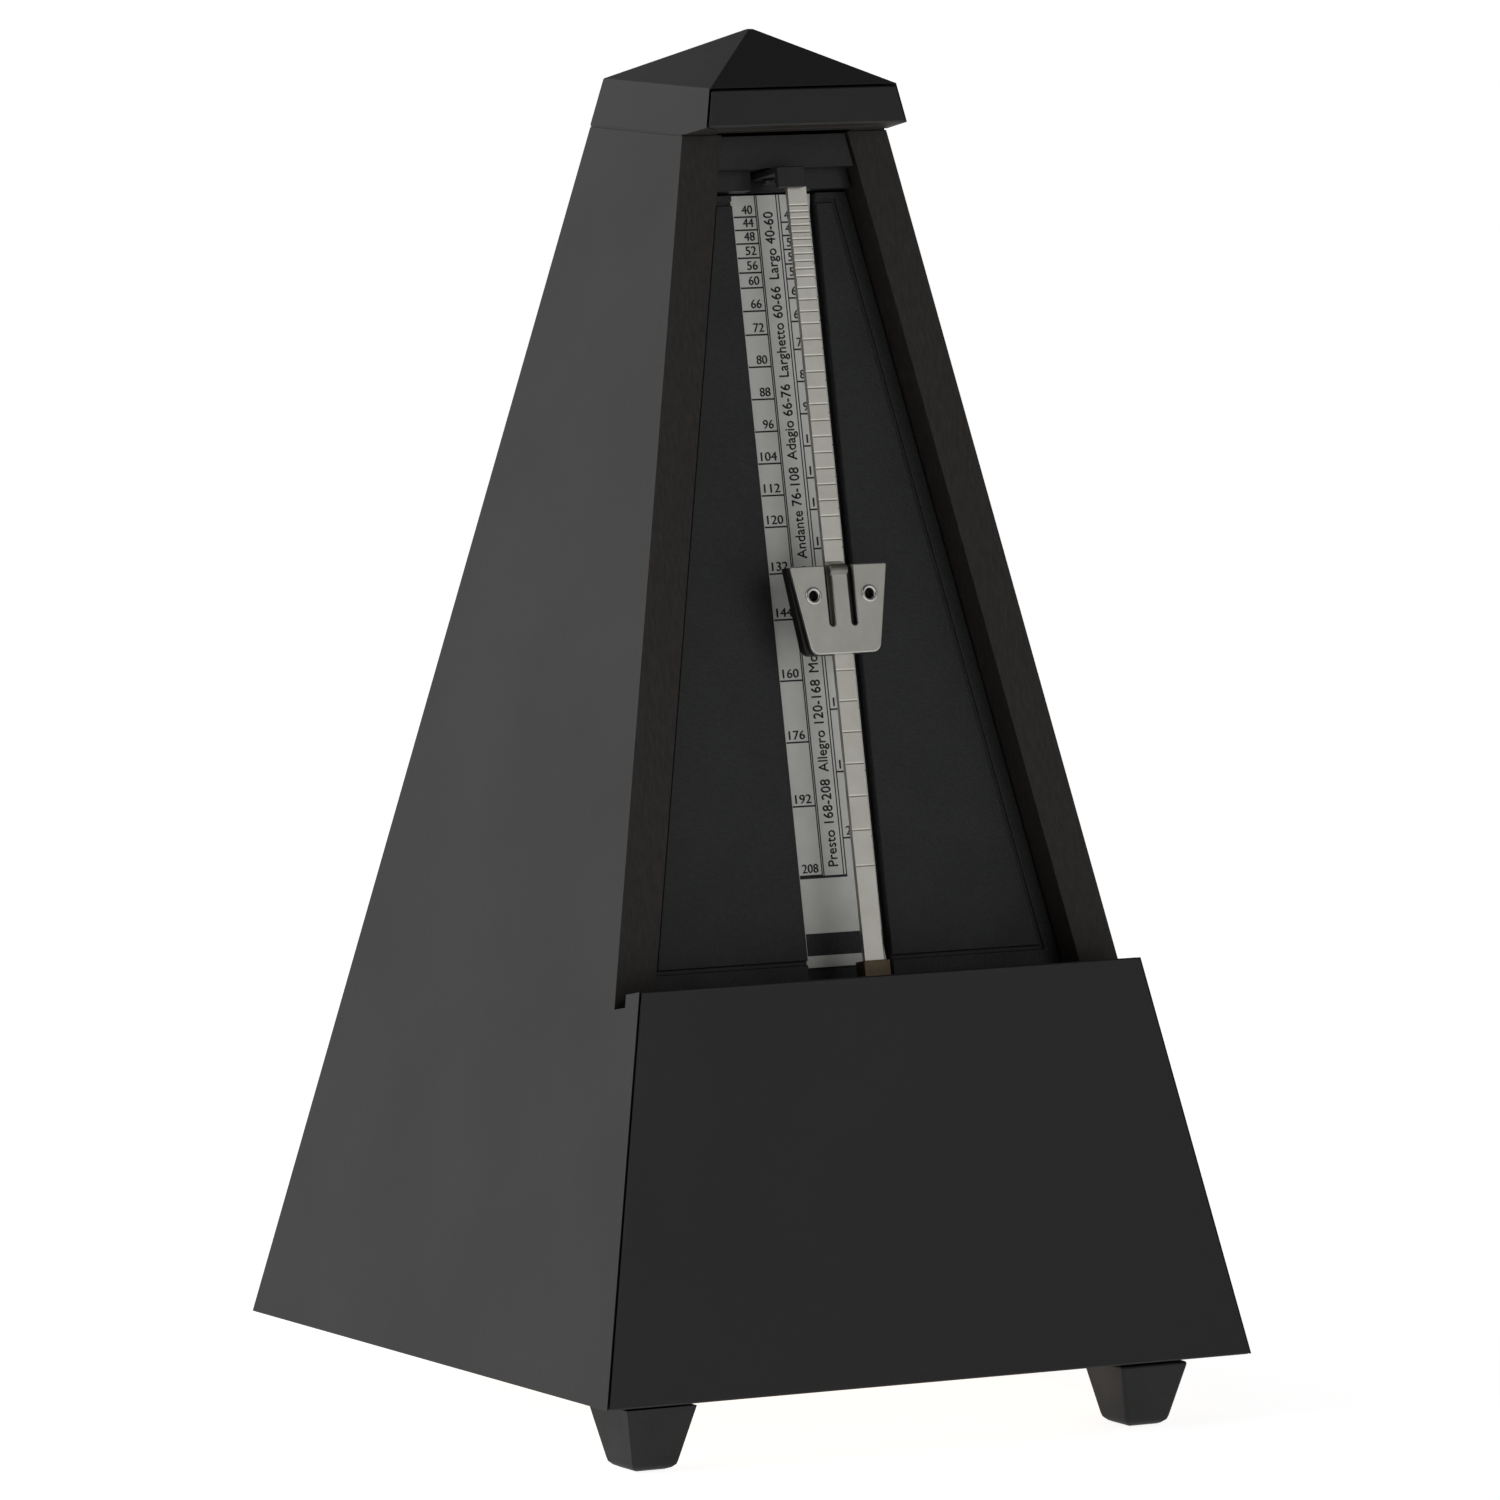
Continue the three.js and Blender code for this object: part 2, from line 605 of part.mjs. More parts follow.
function bobOutline() {
  const top = bobTopUp;
  const foot = bobTopUp - BOB_HEIGHT;
  const lowHalf = BOB_BOTTOM_WIDTH / 2;
  const sideAngle = Math.atan2(BOB_HEIGHT, (BOB_TOP_WIDTH - BOB_BOTTOM_WIDTH) / 2);
  const cutBack = BOB_CORNER * Math.tan((Math.PI - sideAngle) / 2 - Math.PI / 4) + BOB_CORNER * 0.55;
  const centre = point(lowHalf - cutBack + BOB_CORNER * 0.25, foot + BOB_CORNER);
  return mirrored([
    ...arc(centre, BOB_CORNER, -Math.PI / 2, sideAngle - Math.PI / 2, 4),
    point(BOB_TOP_WIDTH / 2, top),
  ]);
}

function bobPlate() {
  const plate = facePlate(bobOutline(), bobPlateFront, bobPlateFront + BOB_PLATE);
  const slots = [-1, 1].map((side) => {
    const middle = (side * (BOB_TONGUE + BOB_SLOT)) / 2;
    const foot = bobTopUp - BOB_SLOT_LENGTH + BOB_SLOT / 2;
    const round = arc(point(middle, foot), BOB_SLOT / 2, Math.PI, 2 * Math.PI, 6);
    const outline = [
      ...round,
      point(middle + BOB_SLOT / 2, bobTopUp + 1),
      point(middle - BOB_SLOT / 2, bobTopUp + 1),
    ];
    return facePlate(outline, bobPlateFront - 1, bobPlateFront + BOB_PLATE + 1);
  });
  return cut(plate, ...slots, ...eyeletHoles());
}

function eyeletHoles() {
  return eyeletPlaces.map((at) => rod(EYELET_TUBE + 0.15, -12, 0, at, 16));
}

function bobBody() {
  const front = bobPlateFront + BOB_PLATE + FIT_GAP;
  const slab = facePlate(bobOutline(), front, front + BOB_BODY);
  const half = ROD_WIDTH / 2 + ROD_CLEARANCE;
  const channel = faceBox(-half, half, 0, faceLength, 0, ROD_DEPTH + ROD_THICKNESS + ROD_CLEARANCE);
  return cut(slab, channel, ...eyeletHoles());
}

// A hollow rivet with a rolled rim at the front.
function eyelet(at) {
  const front = bobPlateFront - FIT_GAP;
  const back = bobPlateFront + BOB_PLATE + FIT_GAP + BOB_BODY + 0.2;
  const rim = 0.25;
  return turned(
    [
      [EYELET_BORE, -back],
      [EYELET_TUBE, -back],
      [EYELET_TUBE, -front],
      [EYELET_RIM, -front],
      [EYELET_RIM - 0.1, -front + rim],
      [EYELET_BORE, -front + rim],
    ],
    at,
    16,
  );
}

// ---- Movement ----
// The movement is laid out on its left plate: its x is the case's y, its y the case's z, and its z the
// case's x, so each wheel is drawn flat and set at its layer.
const layoutPlace = new THREE.Matrix4().makeBasis(
  new THREE.Vector3(0, 1, 0),
  new THREE.Vector3(0, 0, 1),
  new THREE.Vector3(1, 0, 0),
);
const plateInner = PLATE_SPACING / 2;
const fromFace = (up, depth) => point(levelOf(up, depth), heightOf(up, depth));

// Where the second arbor lies, in mesh with the barrel behind and below and the escape pinion above.
function secondPlace() {
  const toBarrel = (GREAT_MODULE * (GREAT_TEETH + SECOND_PINION_TEETH)) / 2 + MESH_SLACK;
  const toEscape = (SECOND_MODULE * (SECOND_TEETH + ESCAPE_PINION_TEETH)) / 2 + MESH_SLACK;
  const line = escapeAt.clone().sub(barrelAt);
  const apart = line.length();
  const along = (toBarrel ** 2 - toEscape ** 2 + apart ** 2) / (2 * apart);
  const off = Math.sqrt(toBarrel ** 2 - along ** 2);
  line.normalize();
  return barrelAt
    .clone()
    .addScaledVector(line, along)
    .add(point(-line.y * off, line.x * off));
}

const secondAt = secondPlace();

const pillarPlaces = {
  front_low: fromFace((BASE_BOARD + 5 + (platesDepth + 4) * sinLean) / cosLean, platesDepth + 4),
  front_high: fromFace(pivotUp + CROWN_RADIUS + 3, crownDepth),
  rear_low: point(barrelAt.x + greatTip - 1.5, BASE_BOARD + 4),
  rear_high: point(barrelAt.x + greatTip + 0.5, barrelAt.y + greatTip - 2.5),
};

// Each plate's foot is screwed down at this distance back from the case's middle, and across from it.
const footScrewAt = point(pillarPlaces.front_low.x + 8, plateInner + PLATE + PLATE_FOOT_REACH / 2 + 0.5);

function movementPlate(z0, wide) {
  const floor = BASE_BOARD + FIT_GAP;
  const top = pivotUp + CROWN_RADIUS + 6;
  const rear = barrelAt.x + greatTip + 4;
  const outline = [
    fromFace((floor + platesDepth * sinLean) / cosLean, platesDepth),
    point(rear, floor),
    point(rear, pillarPlaces.rear_high.y + 4),
    fromFace(top, crownDepth + 6),
    fromFace(top, platesDepth),
  ];
  const hole = (at, radius) => rod(radius, z0 - 2, z0 + PLATE + 2, at, 16);
  const holes = [hole(barrelAt, ARBOR_RADIUS + BEARING_GAP), hole(secondAt, 1.2)];
  for (const at of Object.values(pillarPlaces)) holes.push(hole(at, PILLAR_TENON + BEARING_GAP));
  if (wide) {
    holes.push(hole(escapeAt, bushRadius + BEARING_GAP));
    for (const at of [clickAt, springAt]) holes.push(hole(at, CLICK_BORE));
  }
  const plate = extruded(outline, z0, z0 + PLATE);
  const window = extruded(arc(point(barrelAt.x, barrelAt.y), 7, 0, 2 * Math.PI, 24), z0 - 1, z0 + PLATE + 1, [
    arc(barrelAt, 4.2, 0, 2 * Math.PI, 24).reverse(),
  ]);
  const spokes = [0, 1, 2].map((i) =>
    box(-8, 8, -1.5, 1.5, z0 - 2, z0 + PLATE + 2)
      .rotateZ((i * Math.PI) / 3)
      .translate(barrelAt.x, barrelAt.y, 0),
  );
  const lightening = wide ? [] : [cut(window, ...spokes)];
  return cut(plate, ...holes, ...lightening);
}

// A foot that turns out from a plate's lower edge onto the base board.
function plateFoot(side) {
  const floor = BASE_BOARD + FIT_GAP;
  const ends = [side * (plateInner + PLATE - 0.5), side * (plateInner + PLATE + PLATE_FOOT_REACH)];
  const back = footScrewAt.x + PLATE_FOOT_LENGTH / 2;
  const [near, far] = [Math.min(...ends), Math.max(...ends)];
  const foot = box(back - PLATE_FOOT_LENGTH, back, floor, floor + PLATE, near, far);
  const hole = new THREE.CylinderGeometry(SCREW_HOLE, SCREW_HOLE, 4 * PLATE, 12);
  return cut(foot, hole.translate(footScrewAt.x, floor, side * footScrewAt.y));
}

function pillar(at) {
  const half = plateInner - BEARING_GAP;
  const end = plateInner + PLATE + 0.4;
  return turned(
    [
      [0, -end],
      [PILLAR_TENON, -end],
      [PILLAR_TENON, -half],
      [PILLAR_RADIUS, -half],
      [PILLAR_RADIUS, half],
      [PILLAR_TENON, half],
      [PILLAR_TENON, end],
      [0, end],
    ],
    at,
    12,
  );
}

// A cock is a bridge across the plates with ears along them and a hole for the staff.
function cock(depth, half, earDepth) {
  const bridge = faceBox(-half, half, pivotUp - COCK_HALF, pivotUp + COCK_HALF, depth, depth + PLATE);
  const ears = [-1, 1].map((way) => {
    const edge = way * half;
    const inner = way * (half - PLATE);
    const x0 = Math.min(edge, inner);
    const x1 = Math.max(edge, inner);
    return faceBox(x0, x1, pivotUp - COCK_HALF, pivotUp + COCK_HALF, depth, depth + earDepth);
  });
  const staffHole = rod(STAFF_RADIUS + BEARING_GAP, -depth - PLATE - 1, -depth + 1, point(0, pivotUp));
  return cut(join(bridge, ...ears), staffHole);
}

// ---- Wheels ----
// Involute teeth with generous backlash. Each tooth runs from its root up one flank and down the other.
function gearOutline(teeth, module, turn = 0, flankSteps = 1) {
  const pressure = (24 * Math.PI) / 180;
  const thickness = 0.41; // of the circular pitch, at the pitch circle
  const radius = (teeth * module) / 2;
  const base = radius * Math.cos(pressure);
  const root = radius - 1.15 * module;
  const tip = radius + 0.8 * module;
  const involute = (r) => {
    const angle = Math.acos(Math.min(1, base / r));
    return Math.tan(angle) - angle;
  };
  const halfAt = (r) => (Math.PI * thickness) / teeth + involute(radius) - involute(r);
  const low = Math.max(base, root);
  const flank = Array.from({ length: flankSteps + 1 }, (_, i) => {
    const r = low + ((tip - low) * i) / flankSteps;
    return [r, halfAt(r)];
  });
  if (low > root) flank.unshift([root, halfAt(low)]);
  const points = [];
  for (let i = 0; i < teeth; i++) {
    const middle = turn + (2 * Math.PI * i) / teeth;
    for (const [r, half] of flank) points.push([r, middle - half]);
    for (const [r, half] of [...flank].reverse()) points.push([r, middle + half]);
  }
  return points.map(([r, angle]) => point(r * Math.cos(angle), r * Math.sin(angle)));
}

const angleBetween = (from, to) => Math.atan2(to.y - from.y, to.x - from.x);

// The turn that puts a tooth gap of the driven wheel opposite a tooth of the driver. A driver's teeth are
// turned by its own angle, and the driven wheel follows it through the line between their centres.
function meshedTurn(driverAt, driverTeeth, driverTurn, drivenAt, drivenTeeth) {
  const line = angleBetween(driverAt, drivenAt);
  const phase = ((line - driverTurn) * driverTeeth) / (2 * Math.PI);
  const offset = phase - Math.round(phase);
  return line + Math.PI + ((offset + 0.5) * 2 * Math.PI) / drivenTeeth;
}

const secondTurn = meshedTurn(barrelAt, GREAT_TEETH, 0, secondAt, SECOND_PINION_TEETH);
const escapeTurn = meshedTurn(secondAt, SECOND_TEETH, secondTurn, escapeAt, ESCAPE_PINION_TEETH);

// Layers of the movement, from the left plate to the right one.
const greatLayer = [-12.5, -10.7];
const drumEnd = 2;
const crownTips = PALLET_REACH + CROWN_CLEARANCE;
const crownBack = crownTips + 3.8;
const escapePinionLayer = [crownBack + 0.3, crownBack + 2.8];
const secondWheelLayer = [crownBack + 0.8, crownBack + 2.3];
const bushStart = escapePinionLayer[1] + 0.3;
const bushRadius = 3;
const ratchetLayer = [plateInner + PLATE + 0.5, plateInner + PLATE + 1.9];

function barrelDrum() {
  const outline = gearOutline(GREAT_TEETH, GREAT_MODULE);
  const disc = extruded(outline, ...greatLayer, [arc(point(0, 0), ARBOR_RADIUS + BEARING_GAP).reverse()]);
  const shell = turned([
    [DRUM_RADIUS - DRUM_WALL, greatLayer[1] - 0.5],
    [DRUM_RADIUS, greatLayer[1] - 0.5],
    [DRUM_RADIUS, drumEnd],
    [DRUM_RADIUS - DRUM_WALL, drumEnd],
  ]);
  return join(disc, shell);
}

function barrelCover() {
  return turned([
    [ARBOR_RADIUS + BEARING_GAP, drumEnd + FIT_GAP],
    [DRUM_RADIUS, drumEnd + FIT_GAP],
    [DRUM_RADIUS - 0.4, drumEnd + FIT_GAP + 1],
    [ARBOR_RADIUS + BEARING_GAP, drumEnd + FIT_GAP + 1],
  ]);
}

// The coiled mainspring, a flat strip wound evenly between the arbor's core and the drum.
function mainspring() {
  const inner = ARBOR_CORE + 0.8;
  const outer = DRUM_RADIUS - DRUM_WALL - SPRING_THICKNESS - 0.6;
  const steps = SPRING_TURNS * 16;
  const winding = (thickness) =>
    Array.from({ length: steps + 1 }, (_, i) => {
      const radius = inner + ((outer - inner) * i) / steps + thickness;
      const angle = (2 * Math.PI * SPRING_TURNS * i) / steps;
      return point(radius * Math.cos(angle), radius * Math.sin(angle));
    });
  const outline = [...winding(SPRING_THICKNESS), ...winding(0).reverse()];
  return extruded(outline, greatLayer[1] + 0.4, drumEnd - 0.3);
}

const keyFace = outerHalf(barrelHeight);
const keyStart = keyFace + KEY_STANDOFF;

function windingArbor() {
  const end = keyStart + 5;
  return turned(
    [
      [0, -plateInner - PLATE - 0.8],
      [ARBOR_RADIUS, -plateInner - PLATE - 0.8],
      [ARBOR_RADIUS, greatLayer[1] + FIT_GAP],
      [ARBOR_CORE, greatLayer[1] + FIT_GAP],
      [ARBOR_CORE, drumEnd - 0.1],
      [ARBOR_RADIUS, drumEnd - 0.1],
      [ARBOR_RADIUS, end],
      [0, end],
    ],
    point(0, 0),
    20,
  );
}

function ratchetWheel() {
  const outline = [];
  for (let i = 0; i < RATCHET_TEETH; i++) {
    const angle = (2 * Math.PI * i) / RATCHET_TEETH;
    for (const [radius, turn] of [
      [RATCHET_RADIUS, angle],
      [RATCHET_RADIUS - 1.3, angle + 0.03],
    ])
      outline.push(point(radius * Math.cos(turn), radius * Math.sin(turn)));
  }
  return extruded(outline, ...ratchetLayer, [
    arc(point(0, 0), ARBOR_RADIUS + BEARING_GAP, 0, 2 * Math.PI, 20).reverse(),
  ]);
}

// The click's pivot and its spring's post, on the right plate beside the ratchet.
const clickAt = barrelAt.clone().add(point(14.5, 3));
const springAt = barrelAt.clone().add(point(14, -14));
const clickTip = barrelAt.clone().add(point(RATCHET_RADIUS + 0.25, 0).rotateAround(point(0, 0), -0.3));

function click() {
  const line = clickTip.clone().sub(clickAt);
  const long = line.length();
  const turn = Math.atan2(line.y, line.x);
  const eye = arc(point(0, 0), CLICK_EYE, Math.PI * 0.3, Math.PI * 1.7, 12);
  const outline = [...eye, point(long, 0), point(long - 1.2, 1.1)];
  const hole = arc(point(0, 0), CLICK_BORE, 0, 2 * Math.PI, 12).reverse();
  return extruded(outline, ...ratchetLayer, [hole]).rotateZ(turn).translate(clickAt.x, clickAt.y, 0);
}

// A thin blade from its own post up behind the click.
function clickSpring() {
  const blade = [
    point(-0.3, 0),
    point(0.3, 0),
    point(0.35, 6),
    point(-0.05, 11.5),
    point(-0.55, 11.5),
    point(-0.15, 6),
  ];
  const eye = turned(
    [
      [CLICK_BORE, ratchetLayer[0]],
      [CLICK_EYE, ratchetLayer[0]],
      [CLICK_EYE, ratchetLayer[1]],
      [CLICK_BORE, ratchetLayer[1]],
    ],
    point(0, 0),
    16,
  );
  const strip = extruded(blade, ratchetLayer[0], ratchetLayer[1]);
  const gap = rod(CLICK_BORE, ratchetLayer[0] - 1, ratchetLayer[1] + 1, point(0, 0), 16);
  return cut(join(eye, strip), gap).translate(springAt.x, springAt.y, 0);
}

function plateScrew(at) {
  const shank = PLATE + 1.4 + 1;
  return screw(2, 0.9, 1, shank).translate(at.x, at.y, ratchetLayer[1] + FIT_GAP);
}

function secondArbor() {
  const end = plateInner + PLATE + 0.4;
  const pinion = extruded(
    gearOutline(SECOND_PINION_TEETH, GREAT_MODULE, secondTurn, 2),
    greatLayer[0] - 0.5,
    greatLayer[1] + 0.5,
  );
  const shaft = turned(
    [
      [0, -end],
      [0.9, -end],
      [0.9, -plateInner + 0.5],
      [1.4, -plateInner + 0.5],
      [1.4, plateInner - 0.5],
      [0.9, plateInner - 0.5],
      [0.9, end],
      [0, end],
    ],
    point(0, 0),
    16,
  );
  return join(pinion, shaft);
}

function wheelWithSpokes(outline, rimRadius, hubRadius, bore, z0, z1, spokes) {
  const disc = extruded(outline, z0, z1, [arc(point(0, 0), bore, 0, 2 * Math.PI, 20).reverse()]);
  const ring = extruded(arc(point(0, 0), rimRadius), z0 - 1, z1 + 1, [arc(point(0, 0), hubRadius).reverse()]);
  const bars = Array.from({ length: spokes }, (_, i) =>
    box(0, rimRadius + 1, -0.9, 0.9, z0 - 2, z1 + 2).rotateZ((2 * Math.PI * i) / spokes),
  );
  return cut(disc, cut(ring, ...bars));
}

function secondWheel() {
  const outline = gearOutline(SECOND_TEETH, SECOND_MODULE, secondTurn);
  const radius = (SECOND_TEETH * SECOND_MODULE) / 2;
  return wheelWithSpokes(outline, radius - 2.2, 3.6, 1.7, ...secondWheelLayer, 4);
}

function escapePinion() {
  const pinion = extruded(
    gearOutline(ESCAPE_PINION_TEETH, SECOND_MODULE, escapeTurn, 2),
    ...escapePinionLayer,
  );
  const shaft = rod(1.1, crownTips + 1.6, bushEnd + 0.6, point(0, 0), 16);
  return join(pinion, shaft);
}

const bushEnd = plateInner + PLATE + 1.2;

function escapeBush() {
  return turned([
    [1.1 + 0.2, bushStart],
    [bushRadius, bushStart],
    [bushRadius, plateInner + PLATE + 0.3],
    [bushRadius + 1.2, plateInner + PLATE + 0.3],
    [bushRadius + 1.2, bushEnd],
    [1.1 + 0.2, bushEnd],
  ]);
}

// A wheel whose teeth point along its axis, towards the pendulum's staff.
function crownWheel() {
  const rimFront = crownTips + 1.5;
  const outer = CROWN_RADIUS;
  const inner = CROWN_RADIUS - CROWN_RIM;
  const rim = turned([
    [inner, rimFront],
    [outer, rimFront],
    [outer, crownBack],
    [inner, crownBack],
  ]);
  const discOutline = arc(point(0, 0), outer - 0.3);
  const disc = wheelWithSpokes(discOutline, inner - 0.2, 2.8, 1.4, crownBack - 1.2, crownBack, 4);
  const pitch = (2 * Math.PI * outer) / CROWN_TEETH;
  const teeth = Array.from({ length: CROWN_TEETH }, (_, i) => {
    const profile = [
      point(-pitch * 0.3, rimFront + 0.3),
      point(pitch * 0.28, rimFront + 0.3),
      point(pitch * 0.3, crownTips),
      point(pitch * 0.2, crownTips),
    ];
    const tooth = extruded([...profile].reverse(), inner + 0.15, outer - 0.12);
    const across = new THREE.Matrix4().makeBasis(
      new THREE.Vector3(0, 1, 0),
      new THREE.Vector3(0, 0, 1),
      new THREE.Vector3(1, 0, 0),
    );
    return tooth.applyMatrix4(across).rotateZ((2 * Math.PI * i) / CROWN_TEETH);
  });
  return join(rim, disc, ...teeth);
}

// ---- Winding key ----
function windingKey() {
  const end = keyStart + KEY_BOW_HEIGHT + 3;
  const stem = turned([
    [0, end],
    [KEY_STEM * 0.8, end],
    [KEY_STEM, end - 1],
    [KEY_STEM, keyStart],
    [ARBOR_RADIUS + BEARING_GAP, keyStart],
    [ARBOR_RADIUS + BEARING_GAP, keyStart + 5.4],
    [0, keyStart + 5.4],
  ]);
  const middle = keyStart + 3 + KEY_BOW_HEIGHT / 2;
  const lobe = KEY_BOW_HEIGHT / 2;
  const centre = KEY_BOW_LENGTH / 2 - lobe;
  const right = [
    point(0, middle - lobe * 0.5),
    ...arc(point(centre, middle), lobe, -Math.PI / 2, Math.PI / 2, 10),
    point(0, middle + lobe * 0.5),
  ];
  const outline = [...right, ...right.slice(1, -1).reverse().map((p) => point(-p.x, p.y))];
  const eyes = [-1, 1].map((side) => arc(point(side * centre, middle), 1.9, 0, 2 * Math.PI, 14).reverse());
  const half = KEY_BOW_THICKNESS / 2;
  const bow = extruded(outline, -half, half, eyes).rotateX(Math.PI / 2);
  const bore = rod(ARBOR_RADIUS + BEARING_GAP, keyStart - 1, keyStart + 5.4, point(0, 0), SEGMENTS);
  return cut(join(stem, bow), bore);
}

// A brass ring on the sloping panel, round the key's hole.
function keyRing() {
  const ring = turned([
    [KEY_HOLE - 0.2, FIT_GAP],
    [KEY_HOLE + 3, FIT_GAP],
    [KEY_HOLE + 2.4, 1.3],
    [KEY_HOLE - 0.2, 1.3],
  ]);
  return ring.rotateX(-lean).translate(0, 0, keyFace);
}

// ---- Assembly ----
const finish = {
  lacquer: new THREE.MeshStandardMaterial({ color: 0x2a2b2b, roughness: 0.45, metalness: 0 }),
  wood: new THREE.MeshStandardMaterial({ color: 0xa98a62, roughness: 0.7, metalness: 0 }),
  plastic: new THREE.MeshStandardMaterial({ color: 0x3a3c3d, roughness: 0.55, metalness: 0 }),
  scale: new THREE.MeshStandardMaterial({ color: 0xc4c5bd, roughness: 0.4, metalness: 0.6 }),
  steel: new THREE.MeshStandardMaterial({ color: 0xc9c7be, roughness: 0.3, metalness: 1 }),
  brass: new THREE.MeshStandardMaterial({ color: 0xb9974e, roughness: 0.35, metalness: 1 }),
  blued: new THREE.MeshStandardMaterial({ color: 0x44474d, roughness: 0.35, metalness: 1 }),
};

const metronome = new THREE.Group();
const caseGroup = new THREE.Group();
const face = new THREE.Group();
const movement = new THREE.Group();
metronome.add(caseGroup);
caseGroup.add(face, movement);

const keyEnd = keyStart + KEY_BOW_HEIGHT + 3;
caseGroup.position.set(-(keyEnd - caseHalf) / 2, 0, FOOT_HEIGHT);
face.position.set(0, -caseHalf, 0);
face.rotation.x = Math.PI / 2 - lean;
movement.quaternion.setFromRotationMatrix(layoutPlace);

function place(group, name, geometry, material, at) {
  const mesh = new THREE.Mesh(geometry, material);
  mesh.name = name;
  if (at) mesh.position.set(at.x, at.y, at.z ?? 0);
  group.add(mesh);
}

function buildCase() {
  const feet = footPlaces();
  place(caseGroup, "left_side_panel", leftPanel(), finish.lacquer);
  place(caseGroup, "right_side_panel", rightPanel(), finish.lacquer);
  place(caseGroup, "back_panel", backPanel(), finish.lacquer);
  place(caseGroup, "lower_front_panel", lowerFront(), finish.lacquer);
  place(caseGroup, "top_front_strip", topStrip(), finish.lacquer);
  place(caseGroup, "cap", cap(), finish.lacquer);
  place(caseGroup, "base_board", baseBoard(Object.values(feet)), finish.wood);
  for (const [name, at] of Object.entries(feet)) {
    place(caseGroup, `foot_${name}`, foot(at), finish.plastic, at);
    const shift = footScrewShift(at);
    const head = { x: at.x + shift.x, y: at.y + shift.y, z: BASE_BOARD + FIT_GAP };
    place(caseGroup, `foot_screw_${name}`, screw(2.2, 1, 1, BASE_BOARD + 4), finish.steel, head);
  }
}

function buildFace() {
  place(face, "dial_panel", dialPanel(), finish.plastic);
  place(face, "scale_strip", scaleStrip(), finish.scale);
  place(face, "top_block", topBlock(), finish.plastic);
  place(face, "rod_clip", rodClip(), finish.plastic);
  const clipScrew = screw(1.2, 0.5, 0.7, 4, 0.3).rotateX(Math.PI / 2);
  const head = { x: (CLIP_RIGHT - CLIP_LEFT) / 2, y: clipWeb - FIT_GAP, z: -CLIP_SCREW_DEPTH };
  place(face, "rod_clip_screw", clipScrew, finish.steel, head);
}

function buildPendulum() {
  place(face, "pendulum_rod", pendulumRod(), finish.steel);
  place(face, "rod_clamp", rodClamp(), finish.blued);
  place(face, "pendulum_staff", staff(), finish.steel);
  place(face, "pallet_front", pallet(crownDepth - CROWN_RADIUS, Math.PI / 4), finish.steel);
  place(face, "pallet_rear", pallet(crownDepth + CROWN_RADIUS - 0.6, -Math.PI / 4), finish.steel);
  place(face, "counterweight", counterweight(), finish.brass);
  const head = { x: 0, y: counterweightUp, z: -ROD_DEPTH + 0.2 };
  place(face, "counterweight_screw", screw(2.2, 0.7, 0.9, 7), finish.steel, head);
}

function buildBob() {
  place(face, "bob_front_plate", bobPlate(), finish.steel);
  place(face, "bob_body", bobBody(), finish.steel);
  place(face, "bob_eyelet_left", eyelet(eyeletPlaces[0]), finish.steel);
  place(face, "bob_eyelet_right", eyelet(eyeletPlaces[1]), finish.steel);
}

function buildMovement() {
  const left = join(movementPlate(-plateInner - PLATE, false), plateFoot(-1));
  const right = join(movementPlate(plateInner, true), plateFoot(1));
  place(movement, "movement_plate_left", left, finish.brass);
  place(movement, "movement_plate_right", right, finish.brass);
  const [leftScrew, rightScrew] = movementScrewPlaces();
  const top = BASE_BOARD + FIT_GAP + PLATE + FIT_GAP;
  for (const [name, { x, y }] of Object.entries({ left: leftScrew, right: rightScrew }))
    place(caseGroup, `movement_screw_${name}`, screw(2.2, 1, 1, 6), finish.steel, { x, y, z: top });
  for (const [name, at] of Object.entries(pillarPlaces))
    place(movement, `pillar_${name}`, pillar(at), finish.steel);
  const outside = plateInner + PLATE + FIT_GAP + PLATE;
  place(face, "front_cock", cock(frontCockDepth, outside, PLATE + 5), finish.brass);
  place(face, "rear_cock", cock(rearCockDepth, plateInner - FIT_GAP, PLATE + 1.5), finish.brass);

  place(movement, "barrel_drum", barrelDrum(), finish.brass, barrelAt);
  place(movement, "barrel_cover", barrelCover(), finish.brass, barrelAt);
  place(movement, "mainspring", mainspring(), finish.blued, barrelAt);
  place(movement, "winding_arbor", windingArbor(), finish.steel, barrelAt);
  place(movement, "ratchet_wheel", ratchetWheel(), finish.steel, barrelAt);
  place(movement, "click", click(), finish.steel);
  place(movement, "click_screw", plateScrew(clickAt), finish.steel);
  place(movement, "click_spring", clickSpring(), finish.blued);
  place(movement, "click_spring_screw", plateScrew(springAt), finish.steel);

  place(movement, "second_arbor", secondArbor(), finish.steel, secondAt);
  place(movement, "second_wheel", secondWheel(), finish.brass, secondAt);
  place(movement, "escape_arbor", escapePinion(), finish.steel, escapeAt);
  place(movement, "crown_wheel", crownWheel(), finish.brass, escapeAt);
  place(movement, "escape_bush", escapeBush(), finish.brass, escapeAt);
  place(movement, "winding_key", windingKey(), finish.brass, barrelAt);
  place(movement, "key_ring", keyRing(), finish.brass, barrelAt);
}

buildCase();
buildFace();
buildPendulum();
buildBob();
buildMovement();

export default metronome;
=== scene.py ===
# %% [markdown]
# # A wooden metronome, from a plain model to a finished one
#
# The object is a key-wound metronome: a four-sided wooden case, a pendulum in front of a tempo scale, and
# a clockwork behind it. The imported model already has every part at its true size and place, so this
# script adds what a plain model lacks: finishes, softened edges, printing and a few finely made pieces.
# We start by loading that model, because everything else takes its place from it.

# %% Load the model
import json
import math

import bmesh
import bpy
from mathutils import Matrix, Vector


